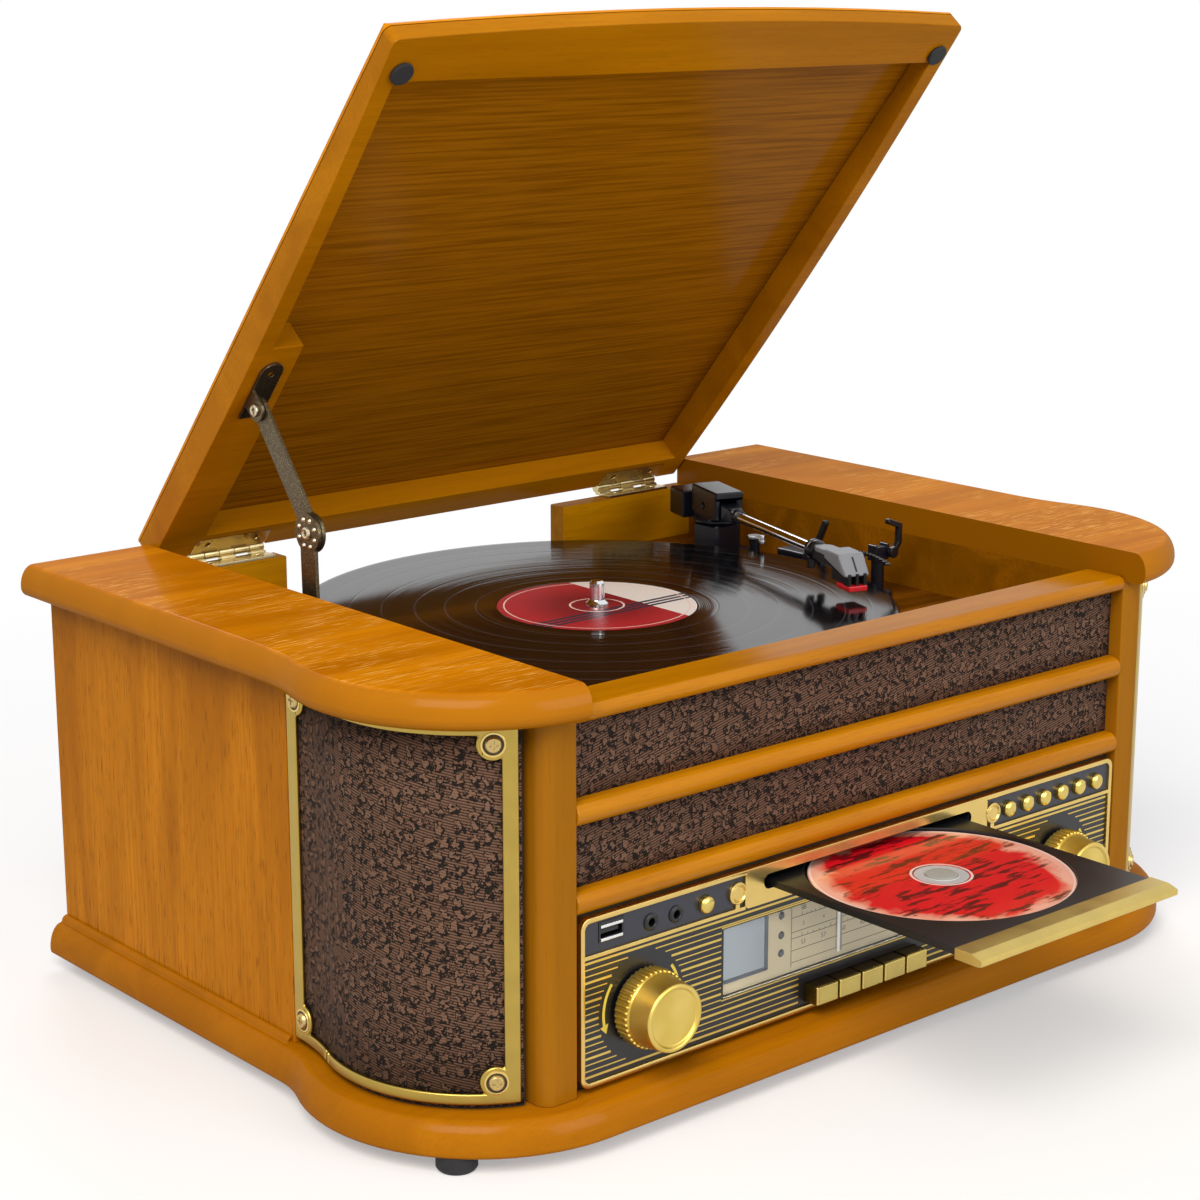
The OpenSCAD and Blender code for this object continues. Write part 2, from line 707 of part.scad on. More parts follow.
// Bracket: a flange with a round front end, screwed under the batten, and an ear folded down
module stay_bracket() {
  z = rail_low(126);
  difference() {
    translate([0, 0, z - 1.5]) linear_extrude(1.5) {
      translate([stay_x - 2, -143]) square([12.5, 31]);
      translate([stay_x + 4.25, -143]) circle(6.1);
    }
    translate([stay_x + 4.25, -142, z - 3]) cylinder(r = 1.8, h = 4);
  }
  yz(stay_x - 2, 1.6) {
    translate(stay_rel) circle(5.6);
    translate([stay_rel[0] - 5.6, stay_rel[1]]) square([11.2, z - 0.5 - stay_rel[1]]);
  }
  rod_x(stay_rel[0], stay_rel[1], 2, stay_x - 2.9, stay_x + 2.6);
  rod_x(stay_rel[0], stay_rel[1], 3.2, stay_x - 2.9, stay_x - 1.9);
  rod_x(stay_rel[0], stay_rel[1], 3, stay_x + 2.1, stay_x + 2.6);
}

module stay_upper_arm() color(antique) place() {
  difference() {
    yz(stay_x, arm_flat) {
      link2(stay_l, stay_m, 5.75);
      translate(stay_m) circle(9.5);
      translate(stay_m) rotate(-20) translate([0, -3.5]) square([12.5, 7]);
    }
    rod_x(stay_l[0], stay_l[1], 2 + run, stay_x - 1, stay_x + 4);
  }
  rod_x(stay_m[0], stay_m[1], elbow_r, stay_x + 1, stay_x + arm_flat + 0.6);
}

module stay_lower_arm() color(antique) place() {
  difference() {
    yz(stay_x - 2.3, arm_flat) {
      link2(stay_n, stay_m, 6);
      translate(stay_m) circle(9.5);
    }
    rod_x(stay_n[0], stay_n[1], 2.5 + run, stay_x - 5, stay_x + 1);
  }
  rod_x(stay_m[0], stay_m[1], elbow_r, stay_x - 2.9, stay_x - 1.3);
}

module platter() color(grey) place() {
  translate([record_x, record_y, 0]) {
    difference() {
      translate([0, 0, deck_z + 3]) cylinder(r = record_d / 2 - 5.5, h = mat_z - deck_z - 3);
      translate([0, 0, deck_z + 2]) cylinder(r = record_d / 2 - 12, h = 6);
    }
    translate([0, 0, deck_z + 1]) cylinder(r = 20, h = 8);
    translate([0, 0, deck_z - deck_thick - 12]) cylinder(r = bearing_r, h = deck_thick + 14);
    translate([0, 0, deck_z + 5]) cylinder(r = spindle_r, h = record_z - deck_z + 5);
    translate([0, 0, record_z + 10]) cylinder(r1 = spindle_r, r2 = 1.8, h = 2);
  }
}

module platter_mat() color(black) place() {
  translate([record_x, record_y, mat_z]) difference() {
    cylinder(r = record_d / 2 - 7, h = 3);
    translate([0, 0, -1]) cylinder(r = spindle_r + 0.1, h = 5);
  }
}

module record() color(black) place() {
  translate([record_x, record_y, record_z - 1.5]) difference() {
    cylinder(r = record_d / 2, h = 1.5);
    translate([0, 0, -1]) cylinder(r = spindle_r + 0.1, h = 4);
  }
}

// Tonearm pieces: local X runs along the arm, Z is measured from the arm's own height
module on_arm() {
  place() translate([arm_x, arm_y, arm_z]) rotate([0, 0, arm_a]) children();
}

module tonearm_gimbal() color(navy) on_arm() {
  difference() {
    union() {
      translate([0, 0, -8.8]) cylinder(r = 14, h = 2.8);
      translate([0, 0, -27]) cylinder(r = 5, h = 19);
      for (s = [-1, 1]) block([-16, s * 6.75 - 1.75, -6.1], [16, s * 6.75 + 1.75, 6.1]);
      block([-16, -8.5, 6], [17, 8.5, 10]);
    }
    translate([0, -12, 0]) rotate([-90, 0, 0]) cylinder(r = 1.5 + run, h = 24);
  }
}

module tonearm_tube() color(grey) on_arm() {
  block([-9, -4.5, -4], [16, 4.5, 3.5]);
  translate([0, -9, 0]) rotate([-90, 0, 0]) cylinder(r = 1.5, h = 18);
  translate([15, 0, 0]) rotate([0, 90, 0]) cylinder(r = 2.8, h = 103);
  translate([-21, 0, 0]) rotate([0, 90, 0]) cylinder(r = 3, h = 13);
  block([-40, -10, -9], [-20, 10, 6]);
}

module headshell() color(black) on_arm() {
  difference() {
    block([106, -5.5, -4], [146, 5.5, 4]);
    translate([105, 0, 0]) rotate([0, 90, 0]) cylinder(r = 2.85, h = 13.1);
  }
  translate([145, 0, 0]) {
    block([0, -6.5, -1], [18.5, 6.5, 6]);
    block([0, -6.5, -6], [18.5, -5, 0]);
    block([0, 5, -6], [18.5, 6.5, 0]);
    block([17, -6.5, -6], [18.5, 6.5, 0]);
    block([3, -4.9, -10.5], [16.9, 4.9, -0.9]);
    block([10, -6, -13.5], [19, 6, -10.4]);
    translate([17, 0, -15.9]) cylinder(r1 = 0.2, r2 = 0.7, h = 2.6);
    translate([6, 6, 3]) rotate([0, 90, 20]) cylinder(r = 1, h = 18);
  }
}

module cue_lever() color(black) place() {
  difference() {
    yz(159, 3) {
      translate([198, deck_z + 11]) circle(4);
      link2([198, deck_z + 11], [189, deck_z + 30], 1.6);
    }
    rod_x(198, deck_z + 11, 1.5, 150, 165);
  }
  rod_x(198, deck_z + 11, 1.6, 158.3, 162.5);
}

module speed_lever() color(grey) place() {
  translate([141, 224, deck_z + 18.2]) {
    linear_extrude(2) {
      circle(4);
      link2([0, 0], [-6, -12], 1.6);
    }
    translate([-6, -12, 1.9]) cylinder(r = 1.4, h = 3);
  }
}

// Hook that holds the parked arm; it turns on a pin beside the rest
module arm_clip() color(black) place() {
  xz(rest_y - 7.5, 3) {
    translate([rest_x + 5, deck_z + 24]) circle(3);
    link2([rest_x + 5, deck_z + 24], [rest_x + 9, deck_z + 29], 1.5);
    link2([rest_x + 9, deck_z + 29], [rest_x + 9, deck_z + 38.2], 1.5);
    link2([rest_x + 9, deck_z + 38.2], [rest_x + 1, deck_z + 41.2], 1.5);
  }
}

module cd_tray() color(black) place() {
  difference() {
    block([-tray_half, tray_front, tray_z], [tray_half, tray_back, tray_z + tray_thick]);
    translate([0, disc_y, tray_z + 1]) cylinder(r = disc_d / 2 + 0.8, h = 5);
    translate([0, disc_y, tray_z - 1]) cylinder(r = 19, h = 5);
    block([-17, disc_y, tray_z - 1], [17, disc_y + 54, tray_z + 5]);
  }
}

module tray_bezel() color(gold) place() {
  yz(-tray_half - 1, 2 * tray_half + 2) difference() {
    rrect([tray_front - bezel_deep, tray_z - 1.2], [tray_front + 3, tray_z + tray_thick + 0.5], 0.8);
    translate([tray_front - fit, tray_z - fit]) square([10, tray_thick + 2 * fit]);
    translate([tray_front + 0.1, tray_z - 3]) square([10, 10]);
  }
}

module disc() color([0.80, 0.55, 0.55]) place() {
  translate([0, disc_y, tray_z + 1.05]) difference() {
    cylinder(r = disc_d / 2, h = 1.2);
    translate([0, 0, -1]) cylinder(r = 7.5, h = 4);
  }
}

// Turned knob with a wider knurled skirt and a dished face
module knob(x) {
  translate([x, 0, knob_z]) rotate([90, 0, 0]) rotate_extrude()
    polygon([[0, -15.6], [shaft_r, -15.6], [shaft_r, 0.5], [17.3, 0.5], [18, 1.2], [18, 8.6],
      [17.3, 9.6], [16, 10.2], [15.4, 20], [14.6, 21], [13.2, 21], [12.4, 20], [0, 19.4]]);
}

module volume_knob() color(gold) place() {
  knob(volume_x);
}

module tuning_knob() color(gold) place() {
  knob(tuning_x);
}

// Pointer bar with the foot that runs along the scale
module dial_pointer() color(grey) place() {
  block([-21, 4.6, dial_z0 + 1.5], [-19, 5.8, dial_z1 - 1.5]);
  block([-23, 4.6, dial_z1 - 3.5], [-17, 8.8, dial_z1 - 1.5]);
}

module key(i) {
  x = key_x[i];
  xz(-7, 1.5) rrect([x - key_wide / 2, key_z - key_high / 2], [x + key_wide / 2, key_z + key_high / 2], 0.8);
  block([x - key_wide / 2, -5.6, key_z - key_high / 2], [x + key_wide / 2, 12, key_z + key_high / 2]);
}

module key_1() color(gold) place() key(0);
module key_2() color(gold) place() key(1);
module key_3() color(gold) place() key(2);
module key_4() color(gold) place() key(3);
module key_5() color(gold) place() key(4);

module button(i) {
  rod_y(button_x[i], button_z, button_r, -1, 11.5);
  intersection() {
    translate([button_x[i], 3.6, button_z]) sphere(r = 6.1);
    rod_y(button_x[i], button_z, button_r, -4, 0);
  }
}

module button_1() color(gold) place() button(0);
module button_2() color(gold) place() button(1);
module button_3() color(gold) place() button(2);
module button_4() color(gold) place() button(3);
module button_5() color(gold) place() button(4);
module button_6() color(gold) place() button(5);
module button_7() color(gold) place() button(6);

base_plinth();
feet();
side_panels();
back_panel();
inner_walls();
front_pillars();
top_board_left();
top_board_right();
front_rails();
front_cloths();
speaker_units();
speaker_cloths();
speaker_frame_left();
speaker_frame_right();
frame_screws();
deck_board();
hinge_blocks();
cabinet_fittings();
fascia_panel();
fascia_trim();
dial_scale();
dial_window();
front_sockets();
electronics();
cd_mechanism();
rear_sockets();
tonearm_base();
lid_panel();
lid_frame();
lid_bumpers();
lid_fittings();
stay_upper_arm();
stay_lower_arm();
platter();
platter_mat();
record();
tonearm_gimbal();
tonearm_tube();
headshell();
cue_lever();
speed_lever();
arm_clip();
cd_tray();
tray_bezel();
disc();
volume_knob();
tuning_knob();
dial_pointer();
key_1();
key_2();
key_3();
key_4();
key_5();
button_1();
button_2();
button_3();
button_4();
button_5();
button_6();
button_7();
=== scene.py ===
import json
import math

import bmesh
import bpy
from mathutils import Matrix, Vector

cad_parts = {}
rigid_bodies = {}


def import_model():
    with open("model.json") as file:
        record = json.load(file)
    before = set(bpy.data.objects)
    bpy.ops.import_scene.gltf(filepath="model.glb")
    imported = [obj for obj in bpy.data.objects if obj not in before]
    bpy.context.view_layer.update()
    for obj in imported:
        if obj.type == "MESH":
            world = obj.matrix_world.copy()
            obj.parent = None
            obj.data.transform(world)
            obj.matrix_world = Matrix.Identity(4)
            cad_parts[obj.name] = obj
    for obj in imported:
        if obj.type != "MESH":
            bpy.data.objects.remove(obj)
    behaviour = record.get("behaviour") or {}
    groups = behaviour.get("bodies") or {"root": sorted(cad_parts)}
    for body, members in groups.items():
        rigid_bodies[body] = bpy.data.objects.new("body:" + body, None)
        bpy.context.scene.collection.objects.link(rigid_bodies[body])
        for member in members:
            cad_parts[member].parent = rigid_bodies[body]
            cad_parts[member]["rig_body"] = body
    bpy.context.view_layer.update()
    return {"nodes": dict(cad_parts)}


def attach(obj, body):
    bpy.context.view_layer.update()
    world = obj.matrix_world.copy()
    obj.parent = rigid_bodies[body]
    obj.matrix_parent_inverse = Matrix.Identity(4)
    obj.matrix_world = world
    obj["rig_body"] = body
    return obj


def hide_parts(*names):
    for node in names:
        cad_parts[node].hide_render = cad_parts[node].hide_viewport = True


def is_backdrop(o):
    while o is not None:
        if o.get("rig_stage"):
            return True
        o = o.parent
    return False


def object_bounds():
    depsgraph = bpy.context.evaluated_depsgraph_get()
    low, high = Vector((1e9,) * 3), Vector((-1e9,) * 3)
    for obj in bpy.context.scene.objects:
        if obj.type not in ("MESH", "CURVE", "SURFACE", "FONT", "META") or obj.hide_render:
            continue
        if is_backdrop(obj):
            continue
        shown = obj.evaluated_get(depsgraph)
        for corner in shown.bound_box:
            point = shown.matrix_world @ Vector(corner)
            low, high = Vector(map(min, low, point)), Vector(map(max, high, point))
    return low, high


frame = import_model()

# Camera
# A long lens a metre and a third away, to the left and a little above the fascia.
# All sizes in this file are millimetres from the fascia's face and the table top.
MIDDLE = 109.714512


def at(x, y, z):
    """A point of the drawing as metres of the frame."""
    return Vector((x, y - MIDDLE, z)) / 1000


EYE = (-832.83, -773.40, 491.46)
GAZE = (0.63446, 0.73475, -0.24000)
scene = bpy.context.scene
camera = bpy.data.objects.new("camera", bpy.data.cameras.new("camera"))
scene.collection.objects.link(camera)
scene.camera = camera
camera.data.lens = 77.64
camera.data.sensor_width = 36.0
camera.data.clip_start, camera.data.clip_end = 0.05, 60.0
camera.location = at(*EYE)
camera.rotation_euler = Vector(GAZE).to_track_quat("-Z", "Y").to_euler()
scene.view_settings.view_transform = "Standard"


# Studio
# A white sweep lit by soft boxes: a large one high on the left, a second in front,
# a small one behind for the edges. The eye and the metals see plain white all round.
def srgb(code):
    """A hex colour as linear light."""
    parts = [int(code[i:i + 2], 16) / 255 for i in (1, 3, 5)]
    return [p / 12.92 if p <= 0.04045 else ((p + 0.055) / 1.055) ** 2.4 for p in parts] + [1.0]


def add(tree, kind, inputs=None, **settings):
    """Adds a node with its settings, values and links."""
    made = tree.nodes.new("ShaderNode" + kind)
    for name, value in settings.items():
        setattr(made, name, value)
    for name, value in (inputs or {}).items():
        if isinstance(value, bpy.types.NodeSocket):
            tree.links.new(value, made.inputs[name])
        else:
            made.inputs[name].default_value = value
    return made


def seen(tree):
    """One where the ray comes from the eye, a reflection or glass."""
    path = add(tree, "LightPath")
    first = add(tree, "Math", {0: path.outputs["Is Camera Ray"], 1: path.outputs["Is Glossy Ray"]},
                operation="MAXIMUM")
    return add(tree, "Math", {0: first.outputs[0], 1: path.outputs["Is Transmission Ray"]},
               operation="MAXIMUM").outputs[0]


world = bpy.data.worlds.new("studio")
scene.world = world
world.use_nodes = True
room = world.node_tree
room.nodes.clear()
fill = add(room, "Background", {"Color": srgb("#F4F6FF"), "Strength": 0.42})
white = add(room, "Background", {"Color": (1, 1, 1, 1), "Strength": 1.0})
both = add(room, "MixShader", {0: seen(room), 1: fill.outputs[0], 2: white.outputs[0]})
add(room, "OutputWorld", {0: both.outputs[0]})

for name, place, aim, size, watts, tint in (
        ("key_box", (-1500, -900, 1900), (0, 150, 100), 1.5, 62, "#FFF6EA"),
        ("front_box", (500, -2100, 900), (0, 100, 100), 1.4, 24, "#FFFFFF"),
        ("rear_box", (900, 1700, 1500), (0, 200, 200), 1.0, 16, "#F4F8FF")):
    lamp = bpy.data.lights.new(name, "AREA")
    lamp.size, lamp.energy, lamp.color = size, watts, srgb(tint)[:3]
    lamp_object = bpy.data.objects.new(name, lamp)
    scene.collection.objects.link(lamp_object)
    lamp_object.location = at(*place)
    lamp_object.rotation_euler = (at(*aim) - at(*place)).to_track_quat("-Z", "Y").to_euler()

sweep_mesh = bmesh.new()
bmesh.ops.create_circle(sweep_mesh, cap_ends=True, radius=9.0, segments=96)
sweep_data = bpy.data.meshes.new("sweep")
sweep_mesh.to_mesh(sweep_data)
sweep = bpy.data.objects.new("sweep", sweep_data)
scene.collection.objects.link(sweep)
sweep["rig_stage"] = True
sweep_paper = bpy.data.materials.new("matt_white_paper")
sweep_paper.use_nodes = True
paper = sweep_paper.node_tree
paper.nodes.clear()
away = add(paper, "VectorMath", {0: add(paper, "TexCoord").outputs["Object"]}, operation="LENGTH")
fade = add(paper, "MapRange", {"Value": away.outputs["Value"], "From Min": 0.35, "From Max": 0.95,
                               "To Min": 0.35, "To Max": 1.0})
share = add(paper, "Math", {0: fade.outputs[0], 1: seen(paper)}, operation="MULTIPLY")
mat_side = add(paper, "BsdfDiffuse", {"Color": srgb("#C4C4C4")})
lit_side = add(paper, "BsdfDiffuse", {"Color": srgb("#EFEFEF")})
choose = add(paper, "MixShader", {0: seen(paper), 1: mat_side.outputs[0], 2: lit_side.outputs[0]})
glow = add(paper, "Emission", {"Color": (1, 1, 1, 1), "Strength": 1.0})
mixed = add(paper, "MixShader", {0: share.outputs[0], 1: choose.outputs[0], 2: glow.outputs[0]})
add(paper, "OutputMaterial", {0: mixed.outputs[0]})
sweep.data.materials.append(sweep_paper)


def new_material(name):
    """An empty node material."""
    made = bpy.data.materials.new(name)
    made.use_nodes = True
    made.node_tree.nodes.clear()
    return made, made.node_tree


def stretched(tree, coords, grain, length, width, shift=0.0):
    """Coordinates in which a pattern's unit is length mm with the grain, width mm across."""
    scale = [1000 / (length if axis == grain else width) for axis in "XYZ"]
    return add(tree, "Mapping", {"Vector": coords, "Scale": scale,
                                 "Location": (shift * 3.1, shift * 1.7, shift * 2.3)}).outputs[0]


def blend(tree, share, low, high):
    """Mixes two colours."""
    mix = tree.nodes.new("ShaderNodeMix")
    mix.data_type = "RGBA"
    for socket, value in ((mix.inputs[0], share), (mix.inputs[6], low), (mix.inputs[7], high)):
        if isinstance(value, bpy.types.NodeSocket):
            tree.links.new(value, socket)
        else:
            socket.default_value = value
    return mix.outputs[2]


def span(tree, value, low, high, out_low=0.0, out_high=1.0):
    """Maps low to high onto out_low to out_high, held at the ends."""
    return add(tree, "MapRange", {"Value": value, "From Min": low, "From Max": high,
                                  "To Min": out_low, "To Max": out_high}).outputs[0]


# how far the lid leans back at rest, and the painted shade of the well's walls
LID_OPEN = math.radians(49.8)
WELL_PAINTED_SHADE = "#8E5804"


def oak(name, grain, light, dark, pore, shift=0.0, lid=False, inside=None, coat=0.14, open_pores=0.7,
        figure=1.0, bright=False, edge=None):
    """Stained oak veneer: a broad figure, fine straight streaks and short open pores.

    grain is the axis that it runs along; shift moves the pattern, so that no two boards match.
    """
    made, tree = new_material(name)
    where = add(tree, "TexCoord")
    coords = where.outputs["Object"]
    if lid:
        coords = add(tree, "Mapping", {"Vector": coords, "Rotation": (LID_OPEN, 0, 0)}).outputs[0]
    broad = add(tree, "TexNoise", {"Vector": stretched(tree, coords, grain, 260, 34, shift),
                                   "Scale": 1.0, "Detail": 3.0, "Distortion": 0.9}).outputs[0]
    streak = add(tree, "TexNoise", {"Vector": stretched(tree, coords, grain, 80, 1.9, shift + 1),
                                    "Scale": 1.0, "Detail": 3.0, "Roughness": 0.6}).outputs[0]
    # real pores are 0.3 mm wide; they are drawn at 0.8 mm so that they show
    pores = add(tree, "TexNoise", {"Vector": stretched(tree, coords, grain, 12, 0.8, shift + 2),
                                   "Scale": 1.0, "Detail": 1.5, "Distortion": 0.3}).outputs[0]
    even = 0.5 - 0.5 * figure
    tone = blend(tree, span(tree, broad, 0.36, 0.64, even, 1 - even), srgb(dark), srgb(light))
    tone = blend(tree, span(tree, streak, 0.44, 0.62, 0.0, 0.5 * figure), tone, srgb(dark))
    holes = span(tree, pores, 0.60, 0.68)
    if bright:
        # the light catches the open pores of the flat top only, in drifts 34 mm wide
        drift = add(tree, "TexNoise", {"Vector": stretched(tree, coords, grain, 60, 34, shift + 4),
                                       "Scale": 1.0, "Detail": 2.0}).outputs[0]
        top = add(tree, "SeparateXYZ", {0: where.outputs["Normal"]}).outputs[2]
        # faces turning away from the flat top, the nose and edges, are darkened: painted shade
        tone = blend(tree, span(tree, top, 0.97, 0.80, 0.0, 0.85), tone, srgb("#A4660A"))
        shown = add(tree, "Math", {0: span(tree, drift, 0.40, 0.60), 1: span(tree, top, 0.93, 0.99)},
                    operation="MULTIPLY").outputs[0]
        holes = add(tree, "Math", {0: span(tree, pores, 0.57, 0.63), 1: shown},
                    operation="MULTIPLY").outputs[0]
    tone = blend(tree, add(tree, "Math", {0: holes, 1: open_pores}, operation="MULTIPLY").outputs[0],
                 tone, srgb(pore))
    if edge:
        # the edge towards the well is darkened to the well wall's tone, painted shade
        inward = add(tree, "Math", {0: add(tree, "SeparateXYZ", {0: where.outputs["Normal"]}).outputs[0],
                                    1: edge}, operation="MULTIPLY").outputs[0]
        tone = blend(tree, span(tree, inward, 0.9, 0.97), tone, srgb(WELL_PAINTED_SHADE))
    # faces that look down from the lid take a darker tone: partly a darker stain, partly painted shade
    if inside:
        up = add(tree, "VectorMath", {0: where.outputs["Normal"],
                                      1: (0, math.sin(LID_OPEN), math.cos(LID_OPEN))},
                 operation="DOT_PRODUCT").outputs["Value"]
        tone = blend(tree, span(tree, up, -0.5, -0.9), tone,
                     blend(tree, span(tree, streak, 0.40, 0.66), srgb(inside[0]), srgb(inside[1])))
    height = add(tree, "Math", {0: streak, 1: holes}, operation="SUBTRACT").outputs[0]
    bump = add(tree, "Bump", {"Height": height, "Strength": 0.16, "Distance": 0.0004}).outputs[0]
    shader = add(tree, "BsdfPrincipled", {"Base Color": tone, "Normal": bump, "Roughness": 0.40,
                                          "Coat Weight": coat, "Coat Roughness": 0.165,
                                          "Specular IOR Level": 0.0})
    add(tree, "OutputMaterial", {0: shader.outputs[0]})
    return made


def make_piece(name, mesh, material, body, nodes=(), ease=32.0, weigh=True):
    """Finishes a bmesh as a piece: shading, material, body and the nodes it stands for."""
    for face in mesh.faces:
        face.smooth = True
    for edge in mesh.edges:
        edge.smooth = len(edge.link_faces) != 2 or edge.calc_face_angle(0) < math.radians(ease)
    data = bpy.data.meshes.new(name)
    mesh.to_mesh(data)
    mesh.free()
    piece = bpy.data.objects.new(name, data)
    scene.collection.objects.link(piece)
    data.materials.append(material)
    if weigh:
        piece.modifiers.new("weighted", "WEIGHTED_NORMAL").keep_sharp = True
    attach(piece, body)
    if nodes:
        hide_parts(*nodes)
    return piece


def merged(node):
    """A node's triangles joined up, its flat faces whole again."""
    mesh = bmesh.new()
    mesh.from_mesh(frame["nodes"][node].data)
    bmesh.ops.remove_doubles(mesh, verts=mesh.verts, dist=2e-6)
    bmesh.ops.dissolve_limit(mesh, angle_limit=math.radians(0.3), use_dissolve_boundaries=False,
                             verts=mesh.verts, edges=mesh.edges)
    return mesh


def soften(mesh, width, segments=2):
    """Rounds over every arris, an edge that turns more than 35 degrees, by width mm."""
    sharp = [e for e in mesh.edges
             if len(e.link_faces) == 2 and e.calc_face_angle(0) > math.radians(35)]
    bmesh.ops.bevel(mesh, geom=sharp, offset=width / 1000, offset_type="OFFSET", affect="EDGES",
                    segments=segments, profile=0.5, material=-1, clamp_overlap=False)


def eased(node, width, material, segments=2):
    """The node itself with its arrises taken off, in its finish."""
    mesh = merged(node)
    if width:
        soften(mesh, width, segments)
    return make_piece(node + "_finished", mesh, material, frame["nodes"][node]["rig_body"],
                      (node,))


def dress(material, *nodes):
    """Gives nodes whose shape is already right their finish."""
    for node in nodes:
        frame["nodes"][node].data.materials.clear()
        frame["nodes"][node].data.materials.append(material)


plinth_oak = oak("oak_veneer_plinth", "X", "#B47008", "#925602", "#663602", 3.0, open_pores=0.1,
                 figure=0.35)
eased("base_plinth", 0.8, plinth_oak)


# Feet
# Four turned rubber pucks screwed under the plinth; matt black, slightly rounded.
def moulded(name, colour, rough, grain=0.8, depth=0.08, coat=0.0, metal=0.0, fleck=None):
    """Moulded or cast surface: one colour with a fine spark texture, grain mm across."""
    made, tree = new_material(name)
    coords = add(tree, "TexCoord").outputs["Object"]
    noise = add(tree, "TexNoise", {"Vector": coords, "Scale": 1000 / grain, "Detail": 2.0}).outputs[0]
    cloud = add(tree, "TexNoise", {"Vector": coords, "Scale": 28.0, "Detail": 2.0}).outputs[0]
    base = srgb(colour)
    deep = [c * 0.86 for c in base[:3]] + [1.0]
    tone = blend(tree, span(tree, cloud, 0.3, 0.7), deep, base)
    if fleck:
        tone = blend(tree, span(tree, noise, 0.54, 0.66), tone, srgb(fleck))
    bump = add(tree, "Bump", {"Height": noise, "Strength": depth, "Distance": 0.0002}).outputs[0]
    shader = add(tree, "BsdfPrincipled", {
        "Base Color": tone, "Normal": bump, "Metallic": metal, "Coat Weight": coat,
        "Coat Roughness": 0.12,
        "Roughness": span(tree, cloud, 0.3, 0.7, rough * 0.9, rough * 1.15)})
    add(tree, "OutputMaterial", {0: shader.outputs[0]})
    return made


rubber = moulded("moulded_rubber", "#17171A", 0.75, 0.6, 0.15)
eased("feet", 0.6, rubber)

# Cabinet sides, inner walls and back
# Veneered boards with upright grain; the well's walls are the same stock, painted darker as the shade of
# the well. The back is a raw fibreboard panel, sawn and drilled, pale brown with fine fibres.
side_oak = oak("oak_veneer_side", "Z", "#C67C10", "#A46206", "#7A4604", 5.0)
# the well's walls: the same oak in a darker tone, painted shade of the recess
wall_oak = oak("oak_veneer_well_painted_shade", "X", WELL_PAINTED_SHADE, "#704402", "#563202", 7.0, open_pores=0.2)
eased("side_panels", 0.4, side_oak)
eased("inner_walls", 0.3, wall_oak)
fibreboard = moulded("raw_fibreboard", "#A98C64", 0.85, 1.6, 0.3, fleck="#8A6C48")
eased("back_panel", 0.4, fibreboard)

# Front pillars, rail and mouldings
# Square posts with a rounded outer corner, and two half-round mouldings mitred between
# them; solid wood, stained, sprayed and flatted, so only a hint of grain is left.
pillar_oak = oak("stained_post", "Z", "#A0680E", "#8A560A", "#704008", 9.0, open_pores=0.1, figure=0.4)
rail_oak = oak("oak_moulding", "X", "#BE7C04", "#9E6002", "#7A4402", 11.0, open_pores=0.2, figure=0.6,
               coat=0.4)
eased("front_pillars", 0.7, pillar_oak)
eased("front_rails", 0.5, rail_oak)

# Top boards
# Two wing boards with a bowed plan and a bull-nosed edge, the nose painted darker as shade.
# The veneer's grain runs across them, and its open pores catch the light as pale dashes.
for side, shift, well in (("left", 13.0, 1.0), ("right", 17.0, -1.0)):
    board_oak = oak("oak_veneer_top_" + side, "X", "#C87C0A", "#AC6404", "#E6AC50", shift, open_pores=0.6,
                    bright=True, edge=well)
    eased("top_board_" + side, 0.0, board_oak)


# Loudspeaker corners
# A curved baffle with a paper cone behind, brown jacquard cloth pulled round it, and a
# pressed frame plated satin gold that four cross-head screws hold at the corners.
def pour(mesh, part):
    """Adds a finished shape to a piece's mesh."""
    data = bpy.data.meshes.new("pour")
    part.to_mesh(data)
    part.free()
    mesh.from_mesh(data)
    bpy.data.meshes.remove(data)


def turn(mesh, profile, place, steps=48):
    """Turned shape: (radius, height) points in mm spun about the place's own Z."""
    part = bmesh.new()
    points = [part.verts.new((r / 1000, 0, h / 1000)) for r, h in profile]
    lines = [part.edges.new(pair) for pair in zip(points, points[1:])]
    bmesh.ops.spin(part, geom=points + lines, cent=(0, 0, 0), axis=(0, 0, 1),
                   angle=math.tau, steps=steps, use_merge=True)
    bmesh.ops.remove_doubles(part, verts=part.verts, dist=1e-6)
    bmesh.ops.recalc_face_normals(part, faces=part.faces)
    bmesh.ops.transform(part, matrix=place, verts=part.verts)
    pour(mesh, part)


def block(mesh, low, high, ease=0.0, place=None, segments=2):
    """A squared block between two corners in mm, its edges eased."""
    part = bmesh.new()
    bmesh.ops.create_cube(part, size=1.0)
    size = [h - l for l, h in zip(low, high)]
    middle = Vector([(l + h) / 2 for l, h in zip(low, high)])
    if place is None:
        place, middle = Matrix(), middle - Vector((0, MIDDLE, 0))
    bmesh.ops.scale(part, vec=[s / 1000 for s in size], verts=part.verts)
    bmesh.ops.translate(part, vec=middle / 1000, verts=part.verts)
    if ease:
        bmesh.ops.bevel(part, geom=list(part.edges), offset=ease / 1000, offset_type="OFFSET",
                        affect="EDGES", segments=segments, profile=0.5, material=-1,
                        clamp_overlap=True)
    bmesh.ops.transform(part, matrix=place, verts=part.verts)
    pour(mesh, part)


def facing(x, y, z, towards):
    """A place at a point of the drawing whose Z points along towards."""
    turn_to = Vector(towards).to_track_quat("Z", "Y").to_matrix().to_4x4()
    return Matrix.Translation(at(x, y, z)) @ turn_to


